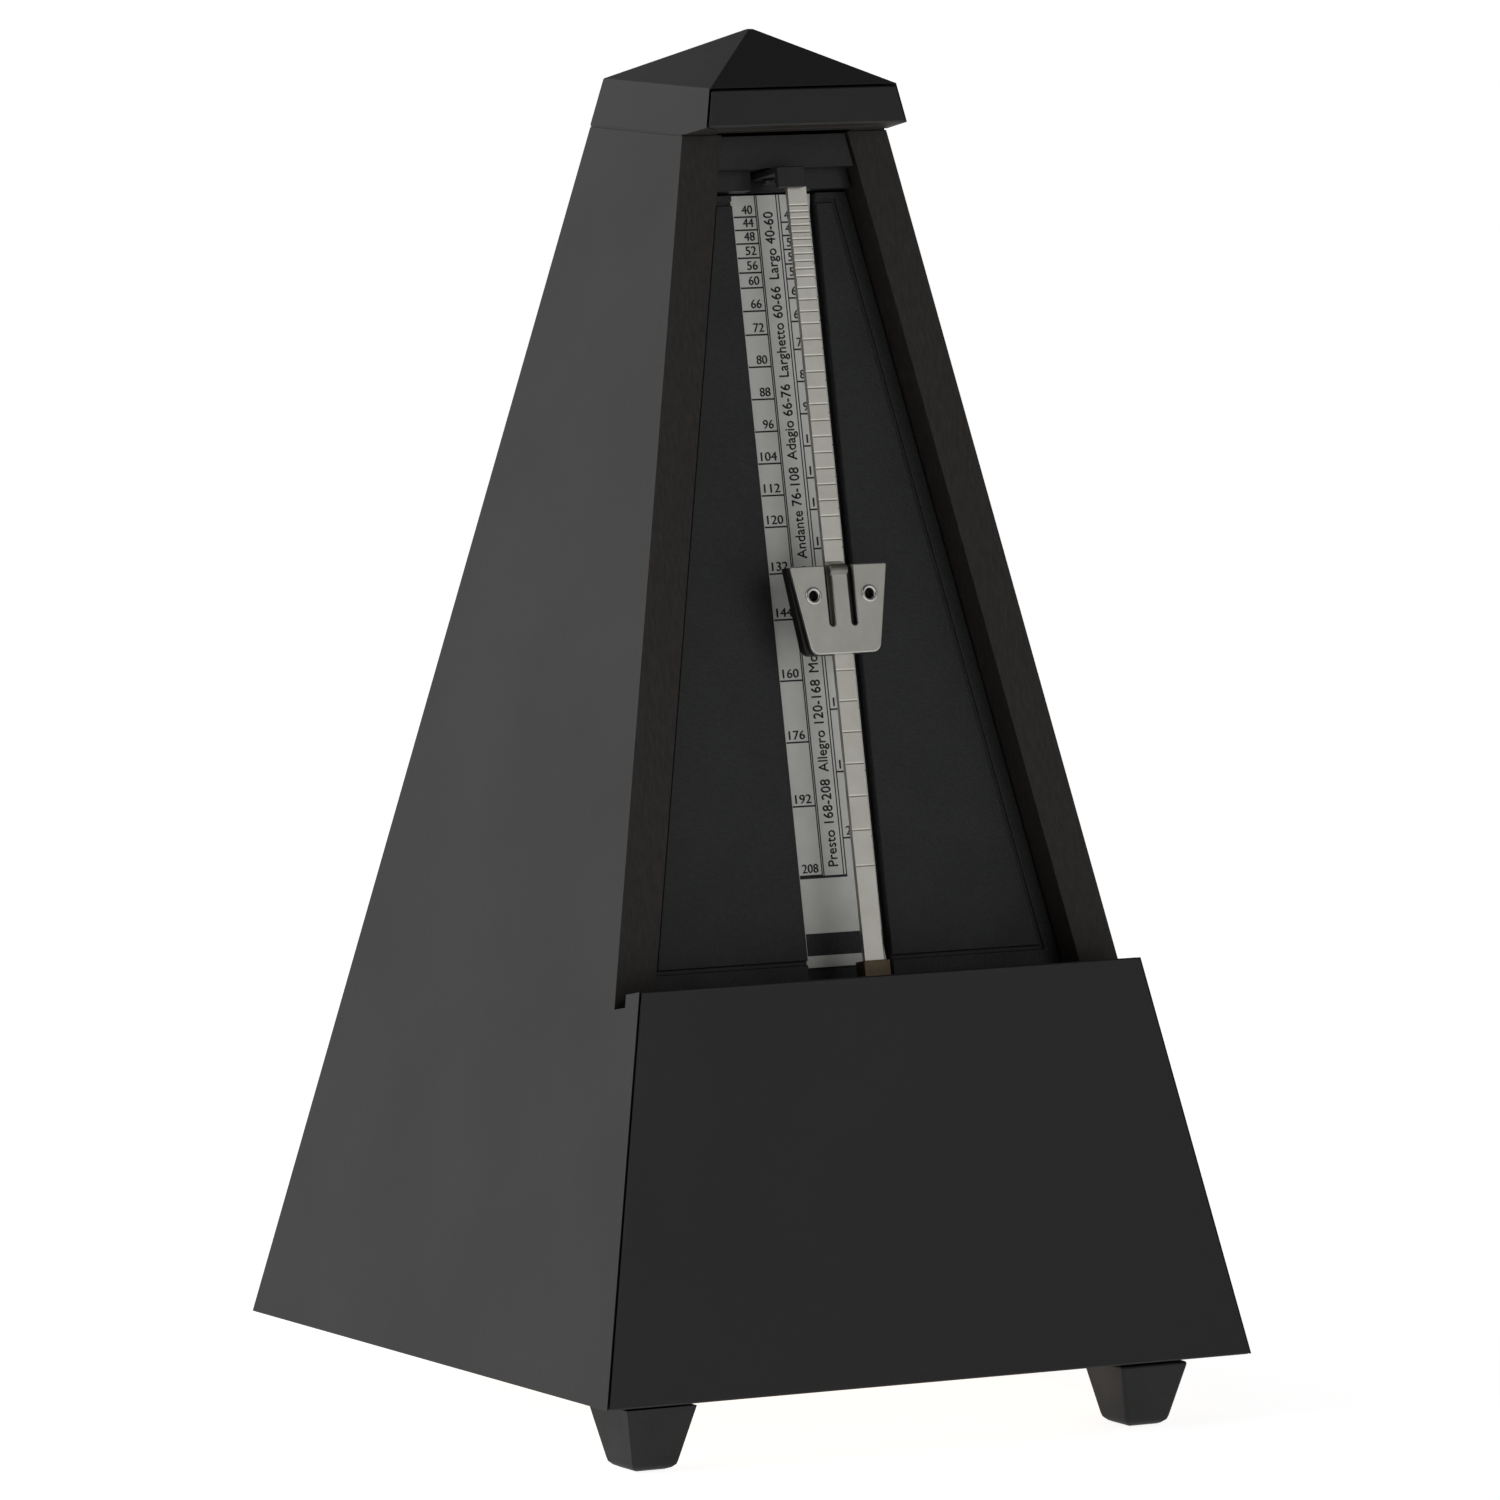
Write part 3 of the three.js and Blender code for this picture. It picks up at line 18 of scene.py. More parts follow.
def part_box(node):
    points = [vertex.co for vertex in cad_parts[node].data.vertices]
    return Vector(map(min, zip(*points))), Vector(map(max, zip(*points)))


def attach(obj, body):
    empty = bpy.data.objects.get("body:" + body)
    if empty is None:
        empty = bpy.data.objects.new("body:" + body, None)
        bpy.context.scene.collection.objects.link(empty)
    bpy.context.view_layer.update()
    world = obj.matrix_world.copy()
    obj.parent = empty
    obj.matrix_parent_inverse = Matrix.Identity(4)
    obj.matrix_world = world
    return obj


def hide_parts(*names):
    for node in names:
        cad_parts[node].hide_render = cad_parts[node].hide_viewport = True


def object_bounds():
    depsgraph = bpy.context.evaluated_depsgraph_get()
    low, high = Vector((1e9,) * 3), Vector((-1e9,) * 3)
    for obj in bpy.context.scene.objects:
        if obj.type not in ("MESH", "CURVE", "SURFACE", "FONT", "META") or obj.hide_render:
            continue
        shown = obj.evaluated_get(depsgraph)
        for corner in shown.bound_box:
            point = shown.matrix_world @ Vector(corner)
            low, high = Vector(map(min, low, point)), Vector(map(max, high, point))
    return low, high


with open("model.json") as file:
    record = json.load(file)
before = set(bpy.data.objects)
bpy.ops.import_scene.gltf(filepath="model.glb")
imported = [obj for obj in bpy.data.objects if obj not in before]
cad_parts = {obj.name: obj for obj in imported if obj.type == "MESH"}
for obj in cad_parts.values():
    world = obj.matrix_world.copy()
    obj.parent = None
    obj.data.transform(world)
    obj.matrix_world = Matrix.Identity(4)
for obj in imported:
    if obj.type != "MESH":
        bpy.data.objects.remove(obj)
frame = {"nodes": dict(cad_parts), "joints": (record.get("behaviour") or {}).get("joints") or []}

nodes = frame["nodes"]
model_low, model_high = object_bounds()

# %% [markdown]
# ## Finding our way on the sloping face
#
# The scale, the rod and the weight all lie along the case's leaning front. It is easiest to think of
# them as a carpenter would: so far across, so far up the slope, and so far out of it. The joints tell us
# both directions, since the pendulum turns about an axis square to the face and the weight slides up it.

# %% The face's own directions
MM = 0.001
joints = {joint["name"]: joint for joint in frame["joints"]}
ACROSS = Vector((1, 0, 0))
UP_FACE = Vector(joints["weight_slide"]["axis"]).normalized()
OUT_OF_FACE = Vector(joints["pendulum_swing"]["axis"]).normalized()

case_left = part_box("left_side_panel")[0].x
case_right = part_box("right_side_panel")[1].x
front_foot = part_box("lower_front_panel")[0]
FACE_FOOT = Vector(((case_left + case_right) / 2, front_foot.y, front_foot.z))


def face_span(name):
    """A part's (lowest, highest) reach across, up and out of the face, in millimetres."""
    corners = [vertex.co - FACE_FOOT for vertex in nodes[name].data.vertices]
    spans = []
    for direction in (ACROSS, UP_FACE, OUT_OF_FACE):
        reach = [corner.dot(direction) / MM for corner in corners]
        spans.append((min(reach), max(reach)))
    return spans


FACE_AXES = Matrix((ACROSS, UP_FACE, OUT_OF_FACE)).transposed().to_4x4()
FACE_AXES.translation = FACE_FOOT
strip_across, strip_up, strip_out = face_span("scale_strip")
print("the scale is %.1f mm long and %.1f mm wide" % (
    strip_up[1] - strip_up[0], strip_across[1] - strip_across[0]))

# %% [markdown]
# ## The camera
#
# A long lens from about two metres away keeps the case's edges nearly straight, as in a catalogue view.
# The camera stands to the left of the face and a little above its middle. It is placed by its position and
# by the direction that it looks in, so nothing in it depends on the part.

# %% Camera
CAMERA_PLACE = (-0.9913, -1.7037, 0.31565)
CAMERA_AZIMUTH = math.radians(-30.091)  # round the object, from straight in front
CAMERA_ELEVATION = math.radians(6.132)
CAMERA_ROLL = math.radians(0.14)
CAMERA_LENS = 298.96  # mm, on a sensor 36 mm wide

camera_data = bpy.data.cameras.new("camera")
camera_data.sensor_width = 36
camera_data.lens = CAMERA_LENS
camera = bpy.data.objects.new("camera", camera_data)
bpy.context.scene.collection.objects.link(camera)
towards_camera = Vector((
    math.sin(CAMERA_AZIMUTH) * math.cos(CAMERA_ELEVATION),
    -math.cos(CAMERA_AZIMUTH) * math.cos(CAMERA_ELEVATION),
    math.sin(CAMERA_ELEVATION),
))
camera.rotation_mode = "QUATERNION"
aim = (-towards_camera).to_track_quat("-Z", "Y")
camera.rotation_quaternion = aim @ Matrix.Rotation(CAMERA_ROLL, 3, "Z").to_quaternion()
camera.location = CAMERA_PLACE
bpy.context.scene.camera = camera
print("camera", [round(value, 3) for value in camera.location], "lens", camera_data.lens)

# %% [markdown]
# ## Floor and light
#
# Black lacquer has almost no colour of its own: what the eye reads is what it mirrors. So the surroundings
# matter more than the lamps. Here the room is bright low down behind the case, which lifts the side panel
# to a soft grey, and dark overhead and in front, which keeps the face and the roof deep. A soft lamp in
# front and to the right throws the weight's shadow on the scale, and a larger one on the left lifts the edges
# on that side. The camera itself sees a plain pale floor and room.

# %% Floor
FLOOR_HALF = 30.0
FLOOR_GLOW = 0.55  # what the floor gives to the object
FLOOR_SEEN = 0.9  # what it shows to the camera, so that it is nearly white there

floor_mesh = bpy.data.meshes.new("floor")
floor_corners = [(x * FLOOR_HALF, y * FLOOR_HALF, 0) for x, y in ((-1, -1), (1, -1), (1, 1), (-1, 1))]
floor_mesh.from_pydata(floor_corners, [], [(0, 1, 2, 3)])
floor = bpy.data.objects.new("floor", floor_mesh)
bpy.context.scene.collection.objects.link(floor)
floor_finish = bpy.data.materials.new("pale_floor")
floor_finish.use_nodes = True
floor_shader = floor_finish.node_tree.nodes["Principled BSDF"]
floor_shader.inputs["Base Color"].default_value = (0.8, 0.8, 0.8, 1)
floor_shader.inputs["Roughness"].default_value = 0.9
floor_shader.inputs["Specular IOR Level"].default_value = 0
floor_shader.inputs["Emission Color"].default_value = (1, 1, 1, 1)
floor_glow = floor_finish.node_tree.nodes.new("ShaderNodeMapRange")
floor_glow.inputs["To Min"].default_value = FLOOR_GLOW
floor_glow.inputs["To Max"].default_value = FLOOR_SEEN
floor_rays = floor_finish.node_tree.nodes.new("ShaderNodeLightPath")
floor_finish.node_tree.links.new(floor_rays.outputs["Is Camera Ray"], floor_glow.inputs["Value"])
floor_finish.node_tree.links.new(floor_glow.outputs["Result"], floor_shader.inputs["Emission Strength"])
floor_mesh.materials.append(floor_finish)
print("floor", FLOOR_HALF * 2, "m across")

# %% Room
world = bpy.data.worlds.new("room")
world.use_nodes = True
bpy.context.scene.world = world
room = world.node_tree
room.nodes.clear()
bpy.context.scene.view_settings.view_transform = "Standard"

BRIGHT_SIDE = Vector((-0.55, 0.83, 0.05)).normalized()  # behind the case, on its left
ROOM_DARK = 0.10
ROOM_BRIGHT = 0.94
ROOM_FADE = (0.45, 0.97)  # how near the bright side a direction is where the light starts and ends rising
PALE = (0.93, 0.93, 0.925, 1)
PALE_STRENGTH = 1.08  # of the room that the camera sees


def room_node(kind, **settings):
    node = room.nodes.new(kind)
    for name, value in settings.items():
        setattr(node, name, value)
    return node


direction = room_node("ShaderNodeTexCoord").outputs["Generated"]
closeness = room_node("ShaderNodeVectorMath", operation="DOT_PRODUCT")
room.links.new(direction, closeness.inputs[0])
closeness.inputs[1].default_value = BRIGHT_SIDE
glow = room_node("ShaderNodeMapRange", interpolation_type="SMOOTHSTEP")
room.links.new(closeness.outputs["Value"], glow.inputs["Value"])
for socket, value in zip(("From Min", "From Max", "To Min", "To Max"), (*ROOM_FADE, ROOM_DARK, ROOM_BRIGHT)):
    glow.inputs[socket].default_value = value
lit_room = room_node("ShaderNodeBackground")
room.links.new(glow.outputs["Result"], lit_room.inputs["Strength"])
seen_room = room_node("ShaderNodeBackground")
seen_room.inputs["Color"].default_value = PALE
seen_room.inputs["Strength"].default_value = PALE_STRENGTH
rays = room_node("ShaderNodeLightPath")
choose = room_node("ShaderNodeMixShader")
room.links.new(rays.outputs["Is Camera Ray"], choose.inputs["Fac"])
room.links.new(lit_room.outputs[0], choose.inputs[1])
room.links.new(seen_room.outputs[0], choose.inputs[2])
room.links.new(choose.outputs[0], room_node("ShaderNodeOutputWorld").inputs["Surface"])
print("room from", ROOM_DARK, "to", ROOM_BRIGHT)

# %% Lamps
LOOK_AT = (model_low + model_high) / 2


def soft_lamp(name, azimuth, elevation, distance, size, power):
    """A square lamp that faces the middle of the object. Azimuth 0 is straight in front of the case."""
    turn, rise = math.radians(azimuth), math.radians(elevation)
    way = Vector((math.sin(turn) * math.cos(rise), -math.cos(turn) * math.cos(rise), math.sin(rise)))
    data = bpy.data.lights.new(name, "AREA")
    data.shape = "SQUARE"
    data.size = size
    data.energy = power
    lamp = bpy.data.objects.new(name, data)
    lamp.location = LOOK_AT + way * distance
    lamp.rotation_mode = "QUATERNION"
    lamp.rotation_quaternion = way.to_track_quat("Z", "Y")
    bpy.context.scene.collection.objects.link(lamp)
    return lamp


lamps = [
    soft_lamp("front_lamp", azimuth=17, elevation=17, distance=1.3, size=0.75, power=1.1),
    soft_lamp("left_lamp", azimuth=-100, elevation=25, distance=1.5, size=1.0, power=5),
]
print("lamps", [lamp.name for lamp in lamps])

# %% [markdown]
# ## Helpers for the finishes
#
# Every finish here is a Principled shader whose colour, roughness and bump come from a few noises. The
# noises are measured in millimetres on the part itself, so the grain has the same size on every piece and
# travels with a piece when it moves. These helpers keep each finish down to the lines that describe it.

# %% Shader helpers
def node_in(tree, kind, inputs=None, **settings):
    """Adds a node, sets its properties, and fills its inputs with values or with other nodes' outputs."""
    node = tree.nodes.new(kind)
    for name, value in settings.items():
        setattr(node, name, value)
    for socket, value in (inputs or {}).items():
        if isinstance(value, bpy.types.NodeSocket):
            tree.links.new(value, node.inputs[socket])
        else:
            node.inputs[socket].default_value = value
    return node


def finish(name, **values):
    """A new material with its Principled shader's plain values set."""
    material = bpy.data.materials.new(name)
    material.use_nodes = True
    shader = material.node_tree.nodes["Principled BSDF"]
    for socket, value in values.items():
        shader.inputs[socket.replace("_", " ")].default_value = value
    return material, material.node_tree, shader


print("finish helpers ready")

# %% Places and noise
def in_millimetres(tree, stretch=(1, 1, 1)):
    """Places on the part in millimetres. A stretch under 1 along an axis makes the grain longer there."""
    place = node_in(tree, "ShaderNodeTexCoord").outputs["Object"]
    scale = [value / MM for value in stretch]
    return node_in(tree, "ShaderNodeMapping", {"Vector": place, "Scale": scale}).outputs["Vector"]


def along_face(tree, stretch):
    """Places in millimetres across, up and out of the leaning face, stretched along those directions."""
    place = node_in(tree, "ShaderNodeTexCoord").outputs["Object"]
    parts = []
    for direction, share in zip((ACROSS, UP_FACE, OUT_OF_FACE), stretch):
        scaled = direction * (share / MM)
        dot = node_in(tree, "ShaderNodeVectorMath", {0: place, 1: scaled}, operation="DOT_PRODUCT")
        parts.append(dot.outputs["Value"])
    return node_in(tree, "ShaderNodeCombineXYZ", dict(zip("XYZ", parts))).outputs["Vector"]


def noise(tree, where, size, detail=3.0, roughness=0.55):
    """Soft noise whose lumps are about size millimetres across."""
    inputs = {"Vector": where, "Scale": 1 / size, "Detail": detail, "Roughness": roughness}
    return node_in(tree, "ShaderNodeTexNoise", inputs).outputs["Fac"]


print("places and noise ready")

# %% Mixing and bumps
def remap(tree, value, low, high, to_low=0.0, to_high=1.0):
    """Stretches the range low to high over the range to_low to to_high, and holds it there."""
    inputs = {"Value": value, "From Min": low, "From Max": high, "To Min": to_low, "To Max": to_high}
    return node_in(tree, "ShaderNodeMapRange", inputs).outputs["Result"]


def math_of(tree, operation, first, second=0.0):
    return node_in(tree, "ShaderNodeMath", {0: first, 1: second}, operation=operation).outputs[0]


def blend_colours(tree, share, first, second):
    """The first colour where share is 0 and the second where it is 1."""
    node = node_in(tree, "ShaderNodeMix", {"Factor": share}, data_type="RGBA")
    for socket, value in ((node.inputs[6], first), (node.inputs[7], second)):
        if isinstance(value, bpy.types.NodeSocket):
            tree.links.new(value, socket)
        else:
            socket.default_value = (*value, 1)
    return node.outputs[2]


def bump(tree, height, depth, before=None):
    """Raises the surface by depth millimetres where height is 1."""
    inputs = {"Height": height, "Strength": 1.0, "Distance": depth * MM}
    if before:
        inputs["Normal"] = before
    return node_in(tree, "ShaderNodeBump", inputs).outputs["Normal"]


def wire(tree, shader, **sockets):
    """Joins outputs to the shader's sockets, named with _ for a space."""
    for name, value in sockets.items():
        tree.links.new(value, shader.inputs[name.replace("_", " ")])


print("mixing helpers ready")

# %% [markdown]
# ## Black lacquer
#
# The case is sprayed satin black. Under it the wood's grain still shows as the faintest ribs, and the
# lacquer itself has a fine orange peel. It is a little paler on the corners, where hands rub it. Inside the
# window and under the cap the boards are only stained dark brown, so one finish holds both: it asks how far
# behind the face a point lies and which way its surface looks, as a mask asks where to spray.

# %% Masks for the lacquer
# An edge mask: on the lacquer it places rubbed wear, on the weight's plate a painted highlight.
def rubbed_edges(tree, radius):
    """Near 1 on a sharp corner and 0 on the flats, by comparing the surface with a rounded copy of it."""
    rounded = node_in(tree, "ShaderNodeBevel", {"Radius": radius * MM}, samples=4).outputs["Normal"]
    plain = node_in(tree, "ShaderNodeNewGeometry").outputs["Normal"]
    same = node_in(tree, "ShaderNodeVectorMath", {0: rounded, 1: plain}, operation="DOT_PRODUCT")
    return remap(tree, same.outputs["Value"], 0.995, 0.9)


def facing(tree, direction):
    """How squarely the surface looks along a direction, from -1 to 1."""
    normal = node_in(tree, "ShaderNodeTexCoord").outputs["Normal"]
    dot = node_in(tree, "ShaderNodeVectorMath", {0: normal, 1: direction}, operation="DOT_PRODUCT")
    return dot.outputs["Value"]


def depth_behind_face(tree):
    """How far behind the leaning face a point lies, in millimetres."""
    place = node_in(tree, "ShaderNodeTexCoord").outputs["Object"]
    from_foot = node_in(tree, "ShaderNodeVectorMath", {0: place, 1: FACE_FOOT}, operation="SUBTRACT")
    inputs = {0: from_foot.outputs["Vector"], 1: OUT_OF_FACE * (-1 / MM)}
    return node_in(tree, "ShaderNodeVectorMath", inputs, operation="DOT_PRODUCT").outputs["Value"]


def over(tree, value, threshold):
    return math_of(tree, "GREATER_THAN", value, threshold)


print("masks ready")

# %% Lacquered and stained wood
LACQUER = (0.0128, 0.0129, 0.0126)
LACQUER_RUBBED = (0.026, 0.026, 0.025)
STAIN_DARK = (0.0105, 0.0085, 0.0062)
STAIN_LIGHT = (0.030, 0.023, 0.017)
WINDOW_DEPTH = 5.0  # mm; a front edge further behind the face than this is stained, not sprayed
SQUARELY = 0.6  # a surface faces a direction if its normal lies along it by more than this
GRAIN_DRAWN = 0.045  # scale along the grain, which draws its ribs out
FLECK_DRAWN = 0.12  # the same for the stain's flecks


def lacquered_wood(name, grain_along, stained_towards, recess=True):
    """Sprayed black outside; stained where the surface looks along any of the given directions."""
    material, tree, shader = finish(name, Specular_IOR_Level=0.5)
    grain_stretch = [GRAIN_DRAWN if grain_along == axis else 1 for axis in "XYZ"]
    fleck_stretch = [FLECK_DRAWN if grain_along == axis else 1 for axis in "XYZ"]
    grain = noise(tree, in_millimetres(tree, grain_stretch), 0.9, 4.0, 0.6)
    peel = noise(tree, in_millimetres(tree), 1.3, 2.0)
    hands = noise(tree, in_millimetres(tree), 26, 3.0)
    rub = math_of(tree, "MULTIPLY", rubbed_edges(tree, 0.5), remap(tree, hands, 0.35, 0.7, 0.25, 1))
    black = blend_colours(tree, rub, LACQUER, LACQUER_RUBBED)
    handled = remap(tree, hands, 0.3, 0.7, 0.40, 0.47)
    satin = math_of(tree, "ADD", handled, remap(tree, peel, 0, 1, -0.02, 0.02))

    fleck = noise(tree, in_millimetres(tree, fleck_stretch), 0.55, 5, 0.7)
    brown = blend_colours(tree, remap(tree, fleck, 0.35, 0.68), STAIN_DARK, STAIN_LIGHT)

    stained = over(tree, facing(tree, stained_towards[0]), SQUARELY)
    for direction in stained_towards[1:]:
        stained = math_of(tree, "MAXIMUM", stained, over(tree, facing(tree, direction), SQUARELY))
    if recess:
        recessed = math_of(tree, "MULTIPLY", over(tree, facing(tree, OUT_OF_FACE), SQUARELY),
                           over(tree, depth_behind_face(tree), WINDOW_DEPTH))
        stained = math_of(tree, "MAXIMUM", stained, recessed)

    rough = node_in(tree, "ShaderNodeMix", {0: stained, 2: satin, 3: 0.6}).outputs[0]
    ribs = bump(tree, grain, 0.012)
    surface = bump(tree, peel, 0.006, ribs)
    wire(tree, shader, Base_Color=blend_colours(tree, stained, black, brown), Roughness=rough, Normal=surface)
    return material


DOWN = Vector((0, 0, -1))
BACKWARDS = Vector((0, 1, 0))
side_lacquer = {
    side: lacquered_wood("lacquer_" + side, "Z", [inward, DOWN, BACKWARDS])
    for side, inward in (("left", ACROSS), ("right", -ACROSS))
}
back_lacquer = lacquered_wood("lacquer_back", "Z", [-BACKWARDS, DOWN])
front_lacquer = lacquered_wood("lacquer_front", "X", [-OUT_OF_FACE, DOWN])
cap_lacquer = lacquered_wood("lacquer_cap", "X", [DOWN], recess=False)
print("lacquers made")

# %% [markdown]
# ## Moulded plastic
#
# The dial behind the pendulum is a moulded panel with a fine pebbled skin, which hides finger marks and
# keeps it from mirroring the room. The feet, the block above the window and its clip are smoother. All three
# finishes come from one function, with the pebbles turned up or down.

# %% Plastics
def plastic(name, colour, pebble_size, pebble_height, roughness):
    """Moulded plastic whose pebbles have a size and height in millimetres."""
    material, tree, shader = finish(name, Specular_IOR_Level=0.45)
    where = in_millimetres(tree)
    inputs = {"Vector": where, "Scale": 1 / pebble_size, "Smoothness": 0.6}
    pebbles = node_in(tree, "ShaderNodeTexVoronoi", inputs, feature="SMOOTH_F1").outputs["Distance"]
    cloud = noise(tree, where, 9, 3)
    speck = noise(tree, where, 0.8, 3, 0.7)
    lighter = tuple(value * 1.55 for value in colour)
    tone = blend_colours(tree, remap(tree, speck, 0.35, 0.75), colour, lighter)
    rough = remap(tree, cloud, 0.3, 0.7, roughness - 0.05, roughness + 0.05)
    skin = bump(tree, math_of(tree, "MULTIPLY", pebbles, -1), pebble_height)
    wire(tree, shader, Base_Color=tone, Roughness=rough, Normal=skin)
    return material


dial_plastic = plastic("pebbled_dial", (0.0145, 0.0157, 0.0152), 0.42, 0.035, 0.52)
block_plastic = plastic("smooth_black_plastic", (0.0125, 0.0128, 0.013), 0.6, 0.006, 0.42)
foot_plastic = plastic("foot_plastic", (0.0055, 0.006, 0.006), 0.5, 0.010, 0.55)
print("plastics made")

# %% [markdown]
# ## Metals
#
# The rod and the weight are bare satin steel, rubbed lengthwise, so their fine scratches run up and down.
# The scale is aluminium sheet whose soft brushing looks nearly like paint, so it is set only partly
# metallic. The clockwork behind is brass and steel, and its springs are blued. A scratch is a noise squeezed
# in one direction; it changes roughness and bump alike.

# %% Metals
def metal(name, light, dark, roughness, scratch, where, spread=0.07, edge_highlight=None, metallic=1.0):
    """A brushed metal. Scratch is the scratches' width in millimetres. An edge colour can be given, which is
    painted on the part's edges as a highlight.
    """
    material, tree, shader = finish(name, Metallic=metallic)
    lines = noise(tree, where(tree), scratch, 4, 0.65)
    stains = noise(tree, in_millimetres(tree), 5, 4, 0.6)
    colour = blend_colours(tree, remap(tree, stains, 0.3, 0.7), dark, light)
    if edge_highlight:
        # Painted highlight: the edges take the lighter colour.
        colour = blend_colours(tree, rubbed_edges(tree, 0.3), colour, edge_highlight)
    rough = remap(tree, lines, 0.3, 0.7, roughness - spread, roughness + spread)
    wire(tree, shader, Base_Color=colour, Roughness=rough, Normal=bump(tree, lines, 0.004))
    return material


def lengthwise(tree):
    """Places for scratches that run up and down the face."""
    return along_face(tree, (1, 0.02, 1))


rod_steel = metal("rod_steel", (0.76, 0.74, 0.68), (0.67, 0.65, 0.58), 0.36, 0.12, lengthwise)
# The weight's plate has a near-white colour painted on its rounded edges, a painted highlight.
weight_steel = metal("weight_steel", (0.60, 0.59, 0.54), (0.53, 0.52, 0.465), 0.40, 0.12, lengthwise,
                     edge_highlight=(0.95, 0.94, 0.9))
strip_metal = metal("strip_aluminium", (0.86, 0.86, 0.82), (0.78, 0.78, 0.74), 0.50, 0.1, lengthwise,
                    spread=0.05, metallic=0.2)
# The rolled end's steel is the weight's steel painted darker: painted shade for the curl, which turns up
# towards the dark overhead.
shaded_tongue_steel = metal("rolled_end_shaded_steel", (0.36, 0.35, 0.32), (0.30, 0.29, 0.265), 0.52, 0.12, lengthwise)
# Dark steel. On the weight's body behind the plate it is painted shade, for the shade on the body's side; on
# the clip's screw it is the screw's own dark colour.
dark_and_shaded_steel = metal("dark_steel_painted_shade", (0.075, 0.075, 0.072), (0.05, 0.05, 0.048), 0.5, 0.15, lengthwise)
bronze = metal("browned_brass", (0.16, 0.125, 0.08), (0.09, 0.07, 0.05), 0.42, 0.2, in_millimetres)
bright_steel = metal("bright_steel", (0.72, 0.71, 0.68), (0.62, 0.61, 0.58), 0.28, 0.2, in_millimetres)
brass = metal("brass", (0.74, 0.56, 0.26), (0.60, 0.43, 0.18), 0.32, 0.25, in_millimetres)
blued_steel = metal("blued_steel", (0.085, 0.095, 0.135), (0.05, 0.055, 0.085), 0.30, 0.2, in_millimetres)
print("metals made")

# %% [markdown]
# ## Bare wood
#
# The base board is never seen from the front, so a maker leaves it bare. Its grain is a noise drawn out
# along the board, with darker pores scattered in it.

# %% Bare beech
def bare_wood():
    """Unfinished beech, its grain running across the case."""
    material, tree, shader = finish("bare_beech", Specular_IOR_Level=0.3)
    rings = noise(tree, in_millimetres(tree, (0.05, 1, 1)), 3.2, 5, 0.6)
    pores = noise(tree, in_millimetres(tree, (0.12, 1, 1)), 0.35, 3, 0.7)
    wood = blend_colours(tree, remap(tree, rings, 0.3, 0.7), (0.30, 0.175, 0.085), (0.46, 0.30, 0.165))
    dark = remap(tree, pores, 0.60, 0.72)
    colour = blend_colours(tree, math_of(tree, "MULTIPLY", dark, 0.6), wood, (0.13, 0.07, 0.035))
    rough = remap(tree, rings, 0.3, 0.7, 0.6, 0.75)
    wire(tree, shader, Base_Color=colour, Roughness=rough, Normal=bump(tree, pores, -0.03))
    return material


beech = bare_wood()
print("wood made")

# %% [markdown]
# ## Softening the edges
#
# Nothing real has a perfectly sharp edge, and on dark lacquer the thin bright line along a corner is half
# of what we see. Each part keeps its own mesh. Modifiers on top weld its triangles, merge the flat ones
# into whole faces and round the corners, so the part itself stays exactly as it was packed.

# %% Edge helper
def soften(name, width, keep_flatter_than=34, segments=3):
    """Rounds a part's corners by width, in millimetres, and shades what is left as smooth."""
    part = nodes[name]
    mesh = part.data
    if "custom_normal" in mesh.attributes:
        mesh.attributes.remove(mesh.attributes["custom_normal"])
    mesh.polygons.foreach_set("use_smooth", [True] * len(mesh.polygons))
    if "sharp_edge" in mesh.attributes:
        mesh.attributes.remove(mesh.attributes["sharp_edge"])
    weld = part.modifiers.new("weld", "WELD")
    weld.merge_threshold = 0.001 * MM
    flats = part.modifiers.new("whole_faces", "DECIMATE")
    flats.decimate_type = "DISSOLVE"
    flats.angle_limit = math.radians(0.5)
    rounding = part.modifiers.new("rounding", "BEVEL")
    rounding.width = width * MM
    rounding.segments = segments
    rounding.limit_method = "ANGLE"
    rounding.angle_limit = math.radians(keep_flatter_than)
    rounding.harden_normals = True
    return part


def dress(names, material, width, **how):
    """Softens the named parts' edges and gives them a finish."""
    for name in names.split():
        part = soften(name, width, **how)
        part.data.materials.clear()
        part.data.materials.append(material)


print("edge helper ready")

# %% [markdown]
# ## Dressing the case
#
# The panels' outer corners are planed to about a third of a millimetre, and the mitred joints leave a thin
# dark line between them. The front board's corner is a touch rounder, since it is handled most.

# %% Case
dress("left_side_panel", side_lacquer["left"], 0.28)
dress("right_side_panel", side_lacquer["right"], 0.28)
dress("back_panel", back_lacquer, 0.28)
dress("lower_front_panel top_front_strip", front_lacquer, 0.3)
dress("cap", cap_lacquer, 0.3, keep_flatter_than=20)
dress("base_board", beech, 0.4)
dress("dial_panel", dial_plastic, 0.12)
dress("top_block rod_clip", block_plastic, 0.2)
dress("foot_front_left foot_front_right foot_rear", foot_plastic, 0.7, keep_flatter_than=40, segments=4)
print("case dressed")

# %% Pendulum and scale
dress("scale_strip", strip_metal, 0.05)
dress("pendulum_rod", rod_steel, 0.03, keep_flatter_than=20, segments=2)
dress("rod_clamp", bronze, 0.15)
dress("counterweight", brass, 0.3)
# The weight's body takes the dark steel, which paints the shade on its side.
dress("bob_body", dark_and_shaded_steel, 0.08)
dress("counterweight_screw pendulum_staff", bright_steel, 0.08)
dress("rod_clip_screw", dark_and_shaded_steel, 0.05)
dress("foot_screw_front_left foot_screw_front_right foot_screw_rear", bright_steel, 0.1)
dress("pallet_front pallet_rear", bright_steel, 0.06)
print("pendulum dressed")

